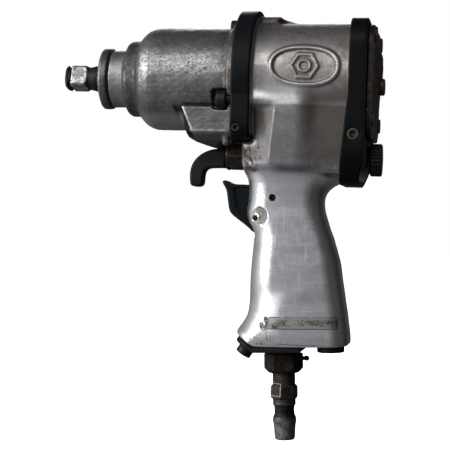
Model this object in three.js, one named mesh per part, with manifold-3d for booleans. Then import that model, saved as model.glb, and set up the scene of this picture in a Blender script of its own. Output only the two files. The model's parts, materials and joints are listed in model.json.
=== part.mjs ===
// Pneumatic impact wrench, 1/2 inch square drive, pistol grip.
// Millimetres. +Z up, +X from the drive tip towards the rear cover, +Y across the tool.
// Origin: centre of the square drive's front end face, on the spindle axis.
// Dimensions count from a datum DRIVE_X ahead of that face; the finished group is set back by it.
import * as THREE from "three";
import { mergeVertices } from "three/addons/utils/BufferGeometryUtils.js";
import Module from "manifold-3d";

const wasm = await Module();
wasm.setup();

// ---------- driving dimensions ----------
const DRIVE_AF = 12.7; // square drive, across flats
const DRIVE_TURN = THREE.MathUtils.degToRad(-14); // rest angle of the drive about the spindle
const DRIVE_X = 1.5; // front end face of the square
const DRIVE_REAR_X = 15; // rear end of the square
const SHAFT_R = 7.6; // anvil shaft
const NOSE_X = 26.5; // front of the hammer case
const CASE_R = 29.7; // hammer case barrel
const CASE_BORE_R = 24.6;
const CASE_FLANGE_X = 105.2; // front of the case flange, under the bolt heads
const JOINT_X = 115.4; // joint face between hammer case and motor housing
const FLANGE_R = 35.5; // front flange
const FLANGE_HALF_WIDTH = FLANGE_R - 2.4; // at the flange's straight sides
const FLANGE_BOTTOM_Z = -33.4;
const REAR_X = 183.2; // rear face of the housing
const BARREL_R = 31.3; // motor barrel
const MOTOR_BORE_R = 25.8;
const MOTOR_FIT_R = MOTOR_BORE_R - 0.3; // parts that sit in the motor bore
const ROTOR_R = 19;
const ROTOR_X = [126.2, 166.8]; // ends of the rotor body
const HAMMER_PIN_Z = 18.2; // hammer pins, above and below the spindle
const HAMMER_PIN_HOLE_R = 3.2;
const OIL_PLUG_AXIS = [0, -3];

// axes parallel to X, as [y, z]
const SPINDLE_AXIS = [0, 0];
const MOTOR_AXIS = [0, 1.5];
const VALVE_Z = -45; // reverse valve and regulator
const VALVE_AXIS = [0, VALVE_Z];
const THROTTLE_Z = -68.6; // throttle valve
const THROTTLE_AXIS = [0, THROTTLE_Z];

// axes parallel to Y, as [x, z]
const TRIGGER_PIVOT = [121, -80.6];
const VALVE_PIN = [131.2, THROTTLE_Z];
const FRONT_RING_SCREW = [112.1, -30.6];
const REAR_RING_SCREW = [177.6, -33];

// vertical ways at the reverse valve
const UPPER_WAY_XS = [132, 144];
const LOWER_WAY_X = 134;

// hammer case bolts and rear cover bolts, as [y, z]
const BOLT_CIRCLE_R = 30.9;
const CASE_BOLTS = [90, -27, 207].map((degrees) => {
  const angle = THREE.MathUtils.degToRad(degrees);
  return [BOLT_CIRCLE_R * Math.cos(angle), BOLT_CIRCLE_R * Math.sin(angle)];
});
const COVER_BOLTS = [[21, 24], [-21, 24], [24.5, -23.5], [-24.5, -23.5]];
const BOLT_SHANK_R = 2.4;
const BOLT_HOLE_R = 2.65; // in the housing
const BOLT_CLEARANCE_R = 2.75; // in the parts bolted on

// bumper rings
const RING_GAP = 0.3; // between a ring and the flange inside it
const FRONT_RING_GROWTH = 3.1; // from the flange's edge to the ring's outside
const REAR_RING_GROWTH = 2.7;

// base frame: the bottom of the handle leans, and so does all that is fixed there
const LEAN = THREE.MathUtils.degToRad(3);
const BASE_X = 138.3;
const BASE_Z = -157;
const HANDLE_BOTTOM = 3.3; // z of the handle's bottom face in the base frame
const BASE_PLUG_X = 27.6; // in the base frame
const LOCK_PIN_Z = -4.4; // in the base frame

// toe: the end plate wraps up the front of the handle at this slope, all in [x, z]
const TOE_SLOPE = Math.atan2(8.4, 13.4);
const TOE_NORMAL = [-Math.sin(TOE_SLOPE), -Math.cos(TOE_SLOPE)];
const TOE_POINT = [112.6, -148.2]; // a point of the toe's face
const TOE_SCREW = [116.8, -156.2];
const TOE_SCREW_HOLE_R = 2.15;

// ---------- materials ----------
const ALUMINIUM = { color: 0xb4b5b8, roughness: 0.35, metalness: 0.9 };
const CAST = { color: 0x77787a, roughness: 0.5, metalness: 0.8 };
const STEEL = { color: 0x8d8c8a, roughness: 0.35, metalness: 0.95 };
const DARK_STEEL = { color: 0x1d1e20, roughness: 0.5, metalness: 0.6 };
const BLACK_PLASTIC = { color: 0x17191b, roughness: 0.7, metalness: 0 };
const BRASS = { color: 0xb08d4f, roughness: 0.4, metalness: 0.9 };
const RUBBER = { color: 0x101010, roughness: 0.85, metalness: 0 };
const VANE_BROWN = { color: 0x6b4a33, roughness: 0.7, metalness: 0 };
const TRIGGER_BLUE = { color: 0x2a3038, roughness: 0.45, metalness: 0.2 };
const VALVE_BROWN = { color: 0x6e5138, roughness: 0.5, metalness: 0.6 };
const SEAL_RED = { color: 0x9c3a20, roughness: 0.6, metalness: 0 };
const INLET_DARK = { color: 0x241f1c, roughness: 0.6, metalness: 0.5 };
const NIPPLE_STEEL = { color: 0x4d4b49, roughness: 0.5, metalness: 0.9 };
const STRIP_GREY = { color: 0x8e8e8c, roughness: 0.5, metalness: 0.4 };

// ---------- solids ----------
// A manifold from a closed geometry, turned right side out if its faces point inwards.
function solid(geometry) {
  const bare = geometry.clone();
  for (const key of Object.keys(bare.attributes)) {
    if (key !== "position") bare.deleteAttribute(key);
  }
  const merged = mergeVertices(bare, 1e-4);
  const index = merged.index.array;
  const outward = [];
  const flipped = [];
  for (let i = 0; i < index.length; i += 3) {
    const [a, b, c] = [index[i], index[i + 1], index[i + 2]];
    if (a !== b && b !== c && a !== c) {
      outward.push(a, b, c);
      flipped.push(a, c, b);
    }
  }
  const make = (triangles) =>
    new wasm.Manifold(
      new wasm.Mesh({
        numProp: 3,
        vertProperties: new Float32Array(merged.attributes.position.array),
        triVerts: new Uint32Array(triangles),
      }),
    );
  const result = make(outward);
  return result.volume() >= 0 ? result : make(flipped);
}
const join = (...parts) => parts.reduce((whole, part) => whole.add(part));
const cut = (body, ...tools) => tools.reduce((rest, tool) => rest.subtract(tool), body);

// Ends a profile of [position, radius] on the axis.
const toAxis = (profile) => [[profile[0][0], 0], ...profile, [profile.at(-1)[0], 0]];
const lathe = (profile, facets) =>
  new THREE.LatheGeometry(profile.map(([along, r]) => new THREE.Vector2(r, along)), facets);

// Ring about an axis parallel to X through [y, z]; the closed profile holds [x, radius].
function ringX(profile, facets = 10, [y, z] = SPINDLE_AXIS) {
  const geometry = lathe([...profile, profile[0]], facets);
  return solid(geometry.rotateZ(-Math.PI / 2).translate(0, y, z));
}
const tubeX = (x0, x1, inner, outer, facets, axis) =>
  ringX([[x0, inner], [x0, outer], [x1, outer], [x1, inner]], facets, axis);

// The same without a hole: the profile is ended on the axis.
function revolveX(profile, facets = 10, [y, z] = SPINDLE_AXIS) {
  const geometry = lathe(toAxis(profile), facets);
  return solid(geometry.rotateZ(-Math.PI / 2).translate(0, y, z));
}
const cylinderX = (x0, x1, r, facets, axis) => revolveX([[x0, r], [x1, r]], facets, axis);

// Revolved about a vertical axis at x. The profile holds [z, radius].
function revolveZ(profile, facets = 10, x = 0) {
  const geometry = lathe(toAxis(profile), facets);
  return solid(geometry.rotateX(Math.PI / 2).translate(x, 0, 0));
}
const cylinderZ = (z0, z1, r, facets, x) => revolveZ([[z0, r], [z1, r]], facets, x);

// A cylinder between two points.
function rod(from, to, r, facets = 10) {
  const start = new THREE.Vector3(...from);
  const end = new THREE.Vector3(...to);
  const along = end.clone().sub(start);
  const geometry = new THREE.CylinderGeometry(r, r, along.length(), facets);
  const up = new THREE.Vector3(0, 1, 0);
  geometry.applyQuaternion(new THREE.Quaternion().setFromUnitVectors(up, along.normalize()));
  const middle = start.add(end).divideScalar(2);
  return solid(geometry.translate(middle.x, middle.y, middle.z));
}
const rodY = ([x, z], y0, y1, r, facets) => rod([x, y0, z], [x, y1, z], r, facets);
// Two rods along Y, one on either side of the tool.
const sideRods = (axis, outer, inner, r, facets) =>
  [-1, 1].map((side) => rodY(axis, side * outer, side * inner, r, facets));

const boxGeometry = (x0, x1, y0, y1, z0, z1) =>
  new THREE.BoxGeometry(x1 - x0, y1 - y0, z1 - z0)
    .translate((x0 + x1) / 2, (y0 + y1) / 2, (z0 + z1) / 2);
const box = (...limits) => solid(boxGeometry(...limits));

function extrude(outline, length, bevel = 0) {
  const shape = new THREE.Shape(outline.map(([u, v]) => new THREE.Vector2(u, v)));
  return new THREE.ExtrudeGeometry(shape, {
    depth: length - 2 * bevel,
    bevelEnabled: bevel > 0,
    bevelSize: bevel,
    bevelThickness: bevel,
    bevelOffset: -bevel,
    bevelSegments: 1,
    steps: 1,
  });
}
const basis = (...axes) =>
  new THREE.Matrix4().makeBasis(...axes.map((axis) => new THREE.Vector3(...axis)));
// Prism along X of an outline in (y, z).
const prismX = (outline, x0, x1, bevel = 0) =>
  solid(
    extrude(outline, x1 - x0, bevel)
      .applyMatrix4(basis([0, 1, 0], [0, 0, 1], [1, 0, 0]))
      .translate(x0 + bevel, 0, 0),
  );
// Prism along Y of an outline in (x, z).
const prismY = (outline, y0, y1, bevel = 0) =>
  solid(
    extrude(outline, y1 - y0, bevel)
      .applyMatrix4(basis([1, 0, 0], [0, 0, 1], [0, -1, 0]))
      .translate(0, y1 - bevel, 0),
  );
// Prism along Z of an outline in (x, y).
const prismZ = (outline, z0, z1) => solid(extrude(outline, z1 - z0).translate(0, 0, z0));

// Skin over a stack of convex outlines with equal point counts.
function loft(rings) {
  const count = rings[0].length;
  const index = [];
  for (let i = 0; i + 1 < rings.length; i++) {
    for (let j = 0; j < count; j++) {
      const a = i * count + j;
      const b = i * count + ((j + 1) % count);
      index.push(a, b, b + count, a, b + count, a + count);
    }
  }
  const last = (rings.length - 1) * count;
  for (let j = 1; j + 1 < count; j++) {
    index.push(0, j + 1, j);
    index.push(last, last + j, last + j + 1);
  }
  const geometry = new THREE.BufferGeometry();
  geometry.setAttribute("position", new THREE.Float32BufferAttribute(rings.flat(2), 3));
  geometry.setIndex(index);
  return solid(geometry);
}

// Everything on the side of the plane through [x, z] that the normal points to.
function halfSpace([x, z], [normalX, normalZ]) {
  const geometry = boxGeometry(-60, 60, -60, 60, 0, 40);
  return solid(geometry.rotateY(Math.atan2(normalX, normalZ)).translate(x, 0, z));
}

// ---------- outlines ----------
function arc(u, v, r, from, to, steps) {
  return Array.from({ length: steps + 1 }, (_, i) => {
    const angle = from + ((to - from) * i) / steps;
    return [u + r * Math.cos(angle), v + r * Math.sin(angle)];
  });
}

// Corner radii run anticlockwise from the (+u, +v) corner; grow moves the whole edge out.
function roundedRect(u0, u1, v0, v1, radii, steps, grow = 0) {
  const r = radii.map((radius) => radius + grow);
  const [left, right, bottom, top] = [u0 - grow, u1 + grow, v0 - grow, v1 + grow];
  const quarter = Math.PI / 2;
  return [
    ...arc(right - r[0], top - r[0], r[0], 0, quarter, steps),
    ...arc(left + r[1], top - r[1], r[1], quarter, 2 * quarter, steps),
    ...arc(left + r[2], bottom + r[2], r[2], 2 * quarter, 3 * quarter, steps),
    ...arc(right - r[3], bottom + r[3], r[3], 3 * quarter, 4 * quarter, steps),
  ];
}

function hexagon(acrossFlats, [u, v] = [0, 0], turn = 0) {
  const r = acrossFlats / Math.sqrt(3);
  return Array.from({ length: 6 }, (_, i) => {
    const angle = turn + (i * Math.PI) / 3;
    return [u + r * Math.cos(angle), v + r * Math.sin(angle)];
  });
}

const turned = (outline, angle) =>
  outline.map(([y, z]) => [
    y * Math.cos(angle) - z * Math.sin(angle),
    y * Math.sin(angle) + z * Math.cos(angle),
  ]);

// Rear flange in (y, z).
const rearOutline = (grow) =>
  roundedRect(-33.3, 33.3, -57.7, 30.5, [14, 14, 18, 18], 5, grow);

// Front flange in (y, z): round above, nearly straight sides and small corners below.
function flangeOutline(grow) {
  const overrun = 0.12; // radians the round goes on below the motor axis
  const corner = 6;
  const y = FLANGE_HALF_WIDTH + grow - corner;
  const z = FLANGE_BOTTOM_Z - grow + corner;
  return [
    ...arc(...MOTOR_AXIS, FLANGE_R + grow, -overrun, Math.PI + overrun, 22),
    ...arc(-y, z, corner, Math.PI, 1.5 * Math.PI, 4),
    ...arc(y, z, corner, 1.5 * Math.PI, 2 * Math.PI, 4),
  ];
}

// ---------- base frame ----------
// tool point of (x, z) in the base frame
const fromBase = (x, z) => [
  BASE_X + x * Math.cos(LEAN) - z * Math.sin(LEAN),
  0,
  BASE_Z + x * Math.sin(LEAN) + z * Math.cos(LEAN),
];
// [x, z] in the base frame of a tool place
function toBase(x, z) {
  const dx = x - BASE_X;
  const dz = z - BASE_Z;
  return [
    dx * Math.cos(LEAN) + dz * Math.sin(LEAN),
    -dx * Math.sin(LEAN) + dz * Math.cos(LEAN),
  ];
}
// [x, z] on the toe screw's axis, at a distance outwards
const toeScrewAxis = (out) => TOE_SCREW.map((value, i) => value + out * TOE_NORMAL[i]);
function toeScrewInBase(out) {
  const [x, z] = toBase(...toeScrewAxis(out));
  return [x, 0, z];
}

// ---------- screws with a hexagon socket ----------
// Along X: head profile, shank [x0, x1, radius], socket [across flats, x0, x1].
function socketScrewX({ head, shank, socket: [acrossFlats, x0, x1] }, axis) {
  const body = join(revolveX(head, 12, axis), cylinderX(...shank, 10, axis));
  return cut(body, prismX(hexagon(acrossFlats, axis), x0, x1));
}
const CASE_BOLT = {
  head: [[99.2, 4.2], [99.8, 4.8], [104.9, 4.8]],
  shank: [104.8, 129.5, BOLT_SHANK_R],
  socket: [4.6, 97, 102.4],
};
const COVER_BOLT = {
  head: [[185.7, 4.3], [187.7, 4.3], [188.1, 3.9]],
  shank: [171, 185.8, BOLT_SHANK_R],
  socket: [3.8, 186.5, 190],
};
const OIL_PLUG = {
  head: [[188.5, 4], [191.3, 4], [191.8, 3.5]],
  shank: [184.8, 188.6, 1.6],
  socket: [2.6, 190, 193],
};

// Along Y: end, seat and tip are distances from the middle plane, side is -1 or 1.
function socketScrewY({ axis, headR, shankR, end, seat, tip, acrossFlats }, side) {
  const body = join(
    rodY(axis, side * seat, side * end, headR, 12),
    rodY(axis, side * (seat + 0.2), side * tip, shankR),
  );
  const socketDepth = 2;
  const [y0, y1] = [side * end - socketDepth, side * end + socketDepth];
  return cut(body, prismY(hexagon(acrossFlats, axis), y0, y1));
}
const FRONT_SCREW = {
  axis: FRONT_RING_SCREW,
  headR: 2.4,
  shankR: 1.25,
  end: FLANGE_HALF_WIDTH + FRONT_RING_GROWTH,
  seat: FLANGE_HALF_WIDTH + RING_GAP,
  tip: 26.5,
  acrossFlats: 2.2,
};
const REAR_SCREW = {
  axis: REAR_RING_SCREW,
  headR: 3.5,
  shankR: 2,
  end: 36.2,
  seat: 33.7,
  tip: 21,
  acrossFlats: 3,
};

// ---------- motor housing: barrel, flanges, handle ----------
const HANDLE_LEVELS = [
  // z, front x, rear x, half width, front corner radius, rear corner radius
  [4, 118.8, 176, 30.5, 6, 6],
  [-8, 118.8, 176, 30.2, 6, 6],
  [-16, 118.8, 176, 28.8, 7, 6],
  [-26, 118.8, 176, 26, 8, 7],
  [-36.8, 118.8, 176, 23.3, 9, 8],
  [-37.2, 112.8, 176, 23.1, 9, 8],
  [-46, 112.8, 175.5, 21, 10, 9],
  [-53, 113.2, 173.5, 19.4, 11, 10],
  [-57, 114.6, 169.5, 18.5, 11.5, 11],
  [-60, 115.5, 165, 17.9, 12, 12],
  [-63, 115.8, 161.2, 17.4, 12, 12],
  [-67, 115.6, 158.9, 17, 12, 12],
  [-71, 115.2, 158.4, 16.8, 12, 12],
  [-76, 114.4, 159.3, 16.8, 12, 12],
  [-80, 114.3, 160.6, 16.8, 12, 12],
  [-84, 115.6, 162, 16.9, 12, 12],
  [-88, 118.2, 163.4, 17, 12, 12],
  [-92, 119.7, 164.9, 17.1, 12, 12.5],
  [-98, 119.2, 167, 17.4, 12, 13],
  [-106, 118.5, 169.2, 17.8, 12, 13],
  [-118, 117.9, 171, 18.2, 12, 13],
  [-128, 117.9, 172.8, 18.5, 12, 13],
  [-135, 117.4, 174.4, 18.8, 12, 13],
  [-140, 115.6, 175.3, 19, 12, 13],
  [-144, 112.2, 176, 19.2, 12, 13],
  [-147, 110.7, 176.4, 19.3, 12, 13],
  [-151, 110.7, 176.4, 19.3, 12, 13],
  [-162, 111.5, 174.6, 18.6, 11.5, 12.5],
];
function handle(grow) {
  return loft(HANDLE_LEVELS.map(([z, x0, x1, halfWidth, front, rear]) => {
    const radii = [rear, front, front, rear];
    const outline = roundedRect(x0, x1, -halfWidth, halfWidth, radii, 3, grow);
    return outline.map(([x, y]) => [x, y, z]);
  }));
}

function motorHousing() {
  const bossProfile = [[118.8, 5.6], [129, 5.6], [139, 1]];
  const body = join(
    handle(0),
    cylinderX(117, 173, BARREL_R, 24, MOTOR_AXIS),
    prismX(flangeOutline(0), JOINT_X + 0.2, 120.5),
    prismX(rearOutline(0), 172.3, REAR_X),
    join(...CASE_BOLTS.map((axis) => revolveX(bossProfile, 10, axis))),
  );
  const [bottomX, , bottomZ] = fromBase(0, HANDLE_BOTTOM);
  const [screwX, screwZ] = toeScrewAxis(-14);
  return cut(
    body,
    // bottom face and toe face
    halfSpace([bottomX, bottomZ], [Math.sin(LEAN), -Math.cos(LEAN)]),
    halfSpace(TOE_POINT, TOE_NORMAL),
    // motor bore, open at both ends
    cylinderX(110, 190, MOTOR_BORE_R, 24, MOTOR_AXIS),
    // bolt holes
    ...CASE_BOLTS.map((axis) => cylinderX(112, 130.5, BOLT_HOLE_R, 10, axis)),
    ...COVER_BOLTS.map((axis) => cylinderX(170, 184, BOLT_HOLE_R, 10, axis)),
    // reverse valve bore from the front, regulator bore from the rear, throttle bore
    cylinderX(108, 152, 6.75, 14, VALVE_AXIS),
    cylinderX(150, 190, 5.25, 12, VALVE_AXIS),
    cylinderX(108, 151.2, 6.3, 14, THROTTLE_AXIS),
    // supply way, from the inlet up to the reverse valve
    rod(fromBase(0, -8), fromBase(0, 24), 8.25, 14),
    rod(fromBase(0, 22), [BASE_X, 0, THROTTLE_Z], 5.4),
    cylinderZ(THROTTLE_Z, VALVE_Z, 2.8, 10, LOWER_WAY_X),
    ...UPPER_WAY_XS.map((x) => cylinderZ(-42, -20, 3, 10, x)),
    // exhaust ways down the handle, and the bore of the base plug
    rod([141, 12.2, -18], [163, 6.5, -148], 2.8),
    rod([141, -12.2, -18], [163, -6.5, -148], 2.8),
    rod(fromBase(BASE_PLUG_X, -6), fromBase(BASE_PLUG_X, 11), 7.3, 14),
    // trigger slot, trigger pin hole and the recesses at its ends, valve pin hole
    box(108, 127.4, -6.1, 6.1, -91.5, -57.6),
    rodY(TRIGGER_PIVOT, -30, 30, 1.65),
    ...sideRods(TRIGGER_PIVOT, 30, 15, 5.6, 12),
    rodY(VALVE_PIN, -30, 30, 1.45),
    // screw holes of the toe and of the rear bumper ring
    rod([screwX, 0, screwZ], [TOE_SCREW[0], 0, TOE_SCREW[1]], TOE_SCREW_HOLE_R),
    ...sideRods(REAR_RING_SCREW, 40, 20, 2.3),
  );
}

// A thin strip following the surface of the handle, at its lower rear.
function nameStrip() {
  const skin = cut(handle(0.38), handle(0.06));
  return skin.intersect(box(131.5, 180, -40, -4, -144.2, -137.2));
}

// ---------- hammer case ----------
const CASE_PROFILE = [
  // x, radius
  [NOSE_X, 17.4], [NOSE_X + 0.6, 18], [30, 18], [30.4, 17.6], [30.4, 16], [31.5, 16],
  [31.8, 16.8], [35, 16.8], [35.6, 17.8], [37.6, 17.9], [38.2, 19.4], [41.6, 22.1],
  [42.4, 22.3], [46.2, 22.4], [46.8, 23.2], [48, 25.3], [50, 27.5], [53, 29.1],
  [56.5, CASE_R], [CASE_FLANGE_X, CASE_R],
];
const CHIN_TOP_Z = -12.4;
const CHIN_STATIONS = [
  // x, half width, bottom z
  [76.5, 24.5, -15], [80, 26.8, -22], [84, 27, -29.5],
  [88, 27, -35], [92.5, 27, -38.6], [97.8, 26.8, -39.6],
];

// Chin under the case: a boat-shaped boss in front of the valve block.
function chin() {
  return loft(CHIN_STATIONS.map(([x, halfWidth, bottom]) => {
    const r = Math.min(10, (-13.2 - bottom) / 2.2 + 0.6);
    const outline = [
      [-halfWidth + 0.4, CHIN_TOP_Z],
      ...arc(-halfWidth + r, bottom + r, r, Math.PI, 1.5 * Math.PI, 4),
      ...arc(halfWidth - r, bottom + r, r, 1.5 * Math.PI, 2 * Math.PI, 4),
      [halfWidth - 0.4, CHIN_TOP_Z],
    ];
    return outline.map(([y, z]) => [x, y, z]);
  }));
}

// Block behind the chin, with sloping lower corners.
function chinBlock(x0, x1, sideZ, bottomY, bottomZ) {
  const right = [[bottomY, bottomZ], [27, sideZ], [27, CHIN_TOP_Z]];
  const left = right.map(([y, z]) => [-y, z]).reverse();
  return prismX([...left, ...right], x0, x1);
}

function hammerCase() {
  const body = join(
    revolveX(CASE_PROFILE, 28),
    revolveX([[103.6, CASE_R], [CASE_FLANGE_X, 32], [109, 32]], 28, [0, 0.6]),
    prismX(flangeOutline(0), 108.4, JOINT_X - 0.3),
  );
  const boltSeat = [[95.4, 5.2], [96.4, 6.2], [CASE_FLANGE_X, 6.2]];
  return cut(
    join(
      cut(body, ...sideRods(FRONT_RING_SCREW, 40, 25, 1.5)),
      chin(),
      chinBlock(97.5, 107.6, -27, 19, -36),
      chinBlock(107.4, 109, -26, 20, -33),
    ),
    // bolt seats scalloped into the case
    ...CASE_BOLTS.map((axis) => revolveX(boltSeat, 12, axis)),
    // cavity for the clutch, open at the rear
    revolveX([[49, 21], [52, CASE_BORE_R], [130, CASE_BORE_R]], 22),
    // bushing bore, shaft hole and seal pocket in the nose
    cylinderX(31.2, 50, 11.7, 18),
    cylinderX(20, 40, 8.6, 18),
    cylinderX(20, 30.2, 11, 18),
    ...CASE_BOLTS.map((axis) => cylinderX(100, 118, BOLT_CLEARANCE_R, 10, axis)),
  );
}

function caseGasket() {
  return cut(
    prismX(flangeOutline(-0.3), JOINT_X - 0.25, JOINT_X + 0.15),
    cylinderX(100, 130, MOTOR_BORE_R + 0.4, 22, MOTOR_AXIS),
    ...CASE_BOLTS.map((axis) => cylinderX(100, 130, BOLT_CLEARANCE_R, 10, axis)),
  );
}

// ---------- bumper rings ----------
function frontBumperRing() {
  return cut(
    prismX(flangeOutline(FRONT_RING_GROWTH), 108.4, 118.4, 0.8),
    prismX(flangeOutline(RING_GAP), 100, 130),
    ...sideRods(FRONT_RING_SCREW, 45, 30, 2.7),
  );
}

function rearBumperRing() {
  return cut(
    prismX(rearOutline(REAR_RING_GROWTH), 173.2, REAR_X - 0.5, 1.5),
    prismX(rearOutline(RING_GAP), 160, 200),
    ...sideRods(REAR_RING_SCREW, 45, 10, 3.9, 12),
  );
}

// ---------- rear cover ----------
function rearCover() {
  const upperDome = [
    [185.6, 17.5], [187.2, 15], [188.8, 10.6], [189.8, 7.6], [190, 7],
  ];
  const lowerDome = [[185.6, 20], [187.6, 16], [188.8, 6]];
  const body = join(
    prismX(roundedRect(-31.6, 31.6, -34, 29.4, [12, 12, 12, 12], 5), REAR_X + 0.4, 186.8, 0.5),
    cylinderX(177.2, 184, MOTOR_BORE_R - 0.4, 22, MOTOR_AXIS),
    revolveX(upperDome, 20, [0, 7.6]),
    revolveX(lowerDome, 18, [0, -8]),
    revolveX([[185.6, 5.4], [187.4, 4.4]], 12, [0, -28.2]),
  );
  return cut(
    body,
    // stepped hollow in the front
    revolveX([[175, 22], [181.6, 22], [181.6, 12], [185, 12]], 18),
    // counterbored holes for the bolts and the oil plug
    ...COVER_BOLTS.flatMap((axis) => [
      cylinderX(180, 190, BOLT_CLEARANCE_R, 10, axis),
      cylinderX(185.4, 192, 4.8, 12, axis),
    ]),
    cylinderX(184, 192, 1.9, 10, OIL_PLUG_AXIS),
    cylinderX(188.2, 192, 4.4, 12, OIL_PLUG_AXIS),
  );
}

// ---------- drive and impact clutch ----------
function squareOutline() {
  const half = DRIVE_AF / 2;
  const flat = half - 1.04; // half the flat left between the chamfered corners
  return [
    [half, flat], [flat, half], [-flat, half], [-half, flat],
    [-half, -flat], [-flat, -half], [flat, -half], [half, -flat],
  ];
}

// Striking lobe of the anvil, about a middle angle.
const lobeOutline = (middle) => [
  ...arc(0, 0, 11.6, middle - 0.5, middle + 0.5, 6),
  ...arc(0, 0, 7.6, middle + 0.62, middle - 0.62, 2),
];

const ANVIL_SHAFT = [
  // x, radius
  [DRIVE_REAR_X - 0.6, 6.5], [DRIVE_REAR_X + 1.5, 7.2], [18.6, 7.5], [19.4, SHAFT_R],
  [30.8, SHAFT_R], [31.4, 7.95], [50.6, 7.95], [50.6, 12.2], [54, 12.2], [54, 8.6], [94.4, 8.6],
];

function anvil() {
  const square = prismX(turned(squareOutline(), DRIVE_TURN), DRIVE_X, DRIVE_REAR_X + 1);
  const chamfered = square.intersect(
    revolveX([[DRIVE_X, 7], [DRIVE_X + 1.5, 8.4], [20, 8.4]], 20),
  );
  const ringGroove = tubeX(3.4, 5.2, 5.3, 12, 16);
  return join(
    cut(join(chamfered, revolveX(ANVIL_SHAFT, 20)), ringGroove),
    // one lobe per hammer
    prismX(lobeOutline(Math.PI / 2), 60, 75.6),
    prismX(lobeOutline(-Math.PI / 2), 78, 93.6),
  );
}

function retainingRing() {
  const gap = [[0, -1.2], [12, -1.2], [12, 1.2], [0, 1.2]];
  const gapPrism = prismX(turned(gap, DRIVE_TURN + Math.PI / 4), 3, 6);
  return cut(tubeX(3.65, 4.95, 5.55, 6.95, 16), gapPrism);
}

const noseSeal = () =>
  ringX([[27.2, 7.95], [27.2, 10.2], [27.6, 10.7], [29.9, 10.7], [29.9, 8], [28.6, 8.6]], 18);

// Bushing with a groove along the top of its bore.
const noseBushing = () =>
  cut(tubeX(31.5, 48.8, 8.3, 11.4, 18), box(34, 46, -0.9, 0.9, 6, 9.4));

// Cage: two discs joined by two side bars, with a hub at the rear.
function hammerCage() {
  const cageR = 24.1;
  const body = join(
    cylinderX(54.6, 58.6, cageR, 22),
    cylinderX(95, 100.6, cageR, 22),
    box(57.5, 96, -26, -20.3, -8, 8),
    box(57.5, 96, 20.3, 26, -8, 8),
    cylinderX(100.4, 106, 12, 16),
  );
  return cut(
    body.intersect(cylinderX(50, 110, cageR, 22)),
    cylinderX(50, 60, 12.6, 18),
    cylinderX(90, 110, 5.6, 14),
    ...[-1, 1].map((side) =>
      cylinderX(50, 99.4, HAMMER_PIN_HOLE_R, 10, [0, side * HAMMER_PIN_Z])),
  );
}

const hammerPin = (side) =>
  revolveX([[55, 2.5], [55.4, 2.9], [98.6, 2.9], [99, 2.5]], 10, [0, side * HAMMER_PIN_Z]);

// Hammer hung on the pin above (side 1) or below (side -1), notched opposite the pin.
function hammer(x0, x1, side) {
  const [start, end] = [x0 - 1, x1 + 1];
  const notchZ = side < 0 ? [14.8, 26] : [-26, -14.8];
  return cut(
    cylinderX(x0, x1, 23, 22).intersect(box(start, end, -17.5, 17.5, -30, 30)),
    cylinderX(start, end, 13, 20),
    cylinderX(start, end, HAMMER_PIN_HOLE_R, 10, [0, side * HAMMER_PIN_Z]),
    box(start, end, -5, 5, ...notchZ),
  );
}

// ---------- air motor ----------
const VANES = [0, 1, 2, 3, 4, 5];
// A box above the spindle, turned about it to the place of one vane.
const atVane = (vane, ...limits) =>
  solid(boxGeometry(...limits).rotateX((vane * Math.PI) / 3 + 0.2));

function rotor() {
  const profile = [
    [96.6, 4.7], [97, 5.2], [110, 5.2], [110.6, 7], [ROTOR_X[0], 7], [ROTOR_X[0], ROTOR_R],
    [ROTOR_X[1], ROTOR_R], [ROTOR_X[1], 6], [178.4, 6], [179, 5.4],
  ];
  const slots = VANES.map((vane) => atVane(vane, 116, 176, -1.2, 1.2, 13, 26));
  return cut(revolveX(profile, 24), ...slots);
}

const vaneBlade = (vane) =>
  atVane(vane, ROTOR_X[0] + 0.2, ROTOR_X[1] - 0.2, -0.9, 0.9, 13.55, 18.75);

// Cylinder with its bore set above the outside, and a row of slanting holes on each side.
function motorCylinder() {
  const holes = [-1, 1].flatMap((side) =>
    [134, 142, 150, 158].map((x) => rod([x, side * 12, -12], [x, side * 22, -22], 2)));
  return cut(
    cylinderX(125.6, 167.4, MOTOR_FIT_R, 24, MOTOR_AXIS),
    cylinderX(120, 170, 21.8, 24, [0, 2.5]),
    ...holes,
  );
}

const frontEndPlate = () =>
  cut(
    cylinderX(116.9, 125.3, MOTOR_FIT_R, 24, MOTOR_AXIS),
    cylinderX(110, 130, 7.6, 14),
    cylinderX(110, 123.8, 13.2, 18),
  );
const rearEndPlate = () =>
  cut(
    cylinderX(167.7, 176.2, MOTOR_FIT_R, 24, MOTOR_AXIS),
    cylinderX(160, 180, 6.6, 14),
    cylinderX(169.9, 180, 11.4, 18),
  );

// Bearing: one ring with a shallow groove between its races on both faces.
function bearing(x0, x1, inner, outer) {
  const grooveInner = inner + (outer - inner) * 0.36;
  const grooveOuter = inner + (outer - inner) * 0.66;
  const depth = 0.7;
  return ringX([
    [x0, inner], [x0, grooveInner], [x0 + depth, grooveInner], [x0 + depth, grooveOuter],
    [x0, grooveOuter], [x0, outer], [x1, outer], [x1, grooveOuter],
    [x1 - depth, grooveOuter], [x1 - depth, grooveInner], [x1, grooveInner], [x1, inner],
  ], 18);
}

// ---------- trigger and throttle ----------
const TRIGGER_OUTLINE = [
  // x, z
  [99.2, -59.6], [100.4, -61.9], [102.1, -64.6], [103, -70.4], [103.9, -75.9],
  [105.4, -78.6], [109.9, -81.9], [114.8, -85.3], [119.1, -89.2], [121.5, -89],
  [124.2, -86], [124.9, -81.5], [124, -76], [121.9, -71], [121.2, -68.6], [120.6, -66],
  [119.4, -61.6], [115.1, -61.1], [106.2, -61.1], [102.9, -59.4], [101, -58.8],
];
const trigger = () =>
  cut(prismY(TRIGGER_OUTLINE, -5.7, 5.7, 1.1), rodY(TRIGGER_PIVOT, -9, 9, 1.7));

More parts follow.
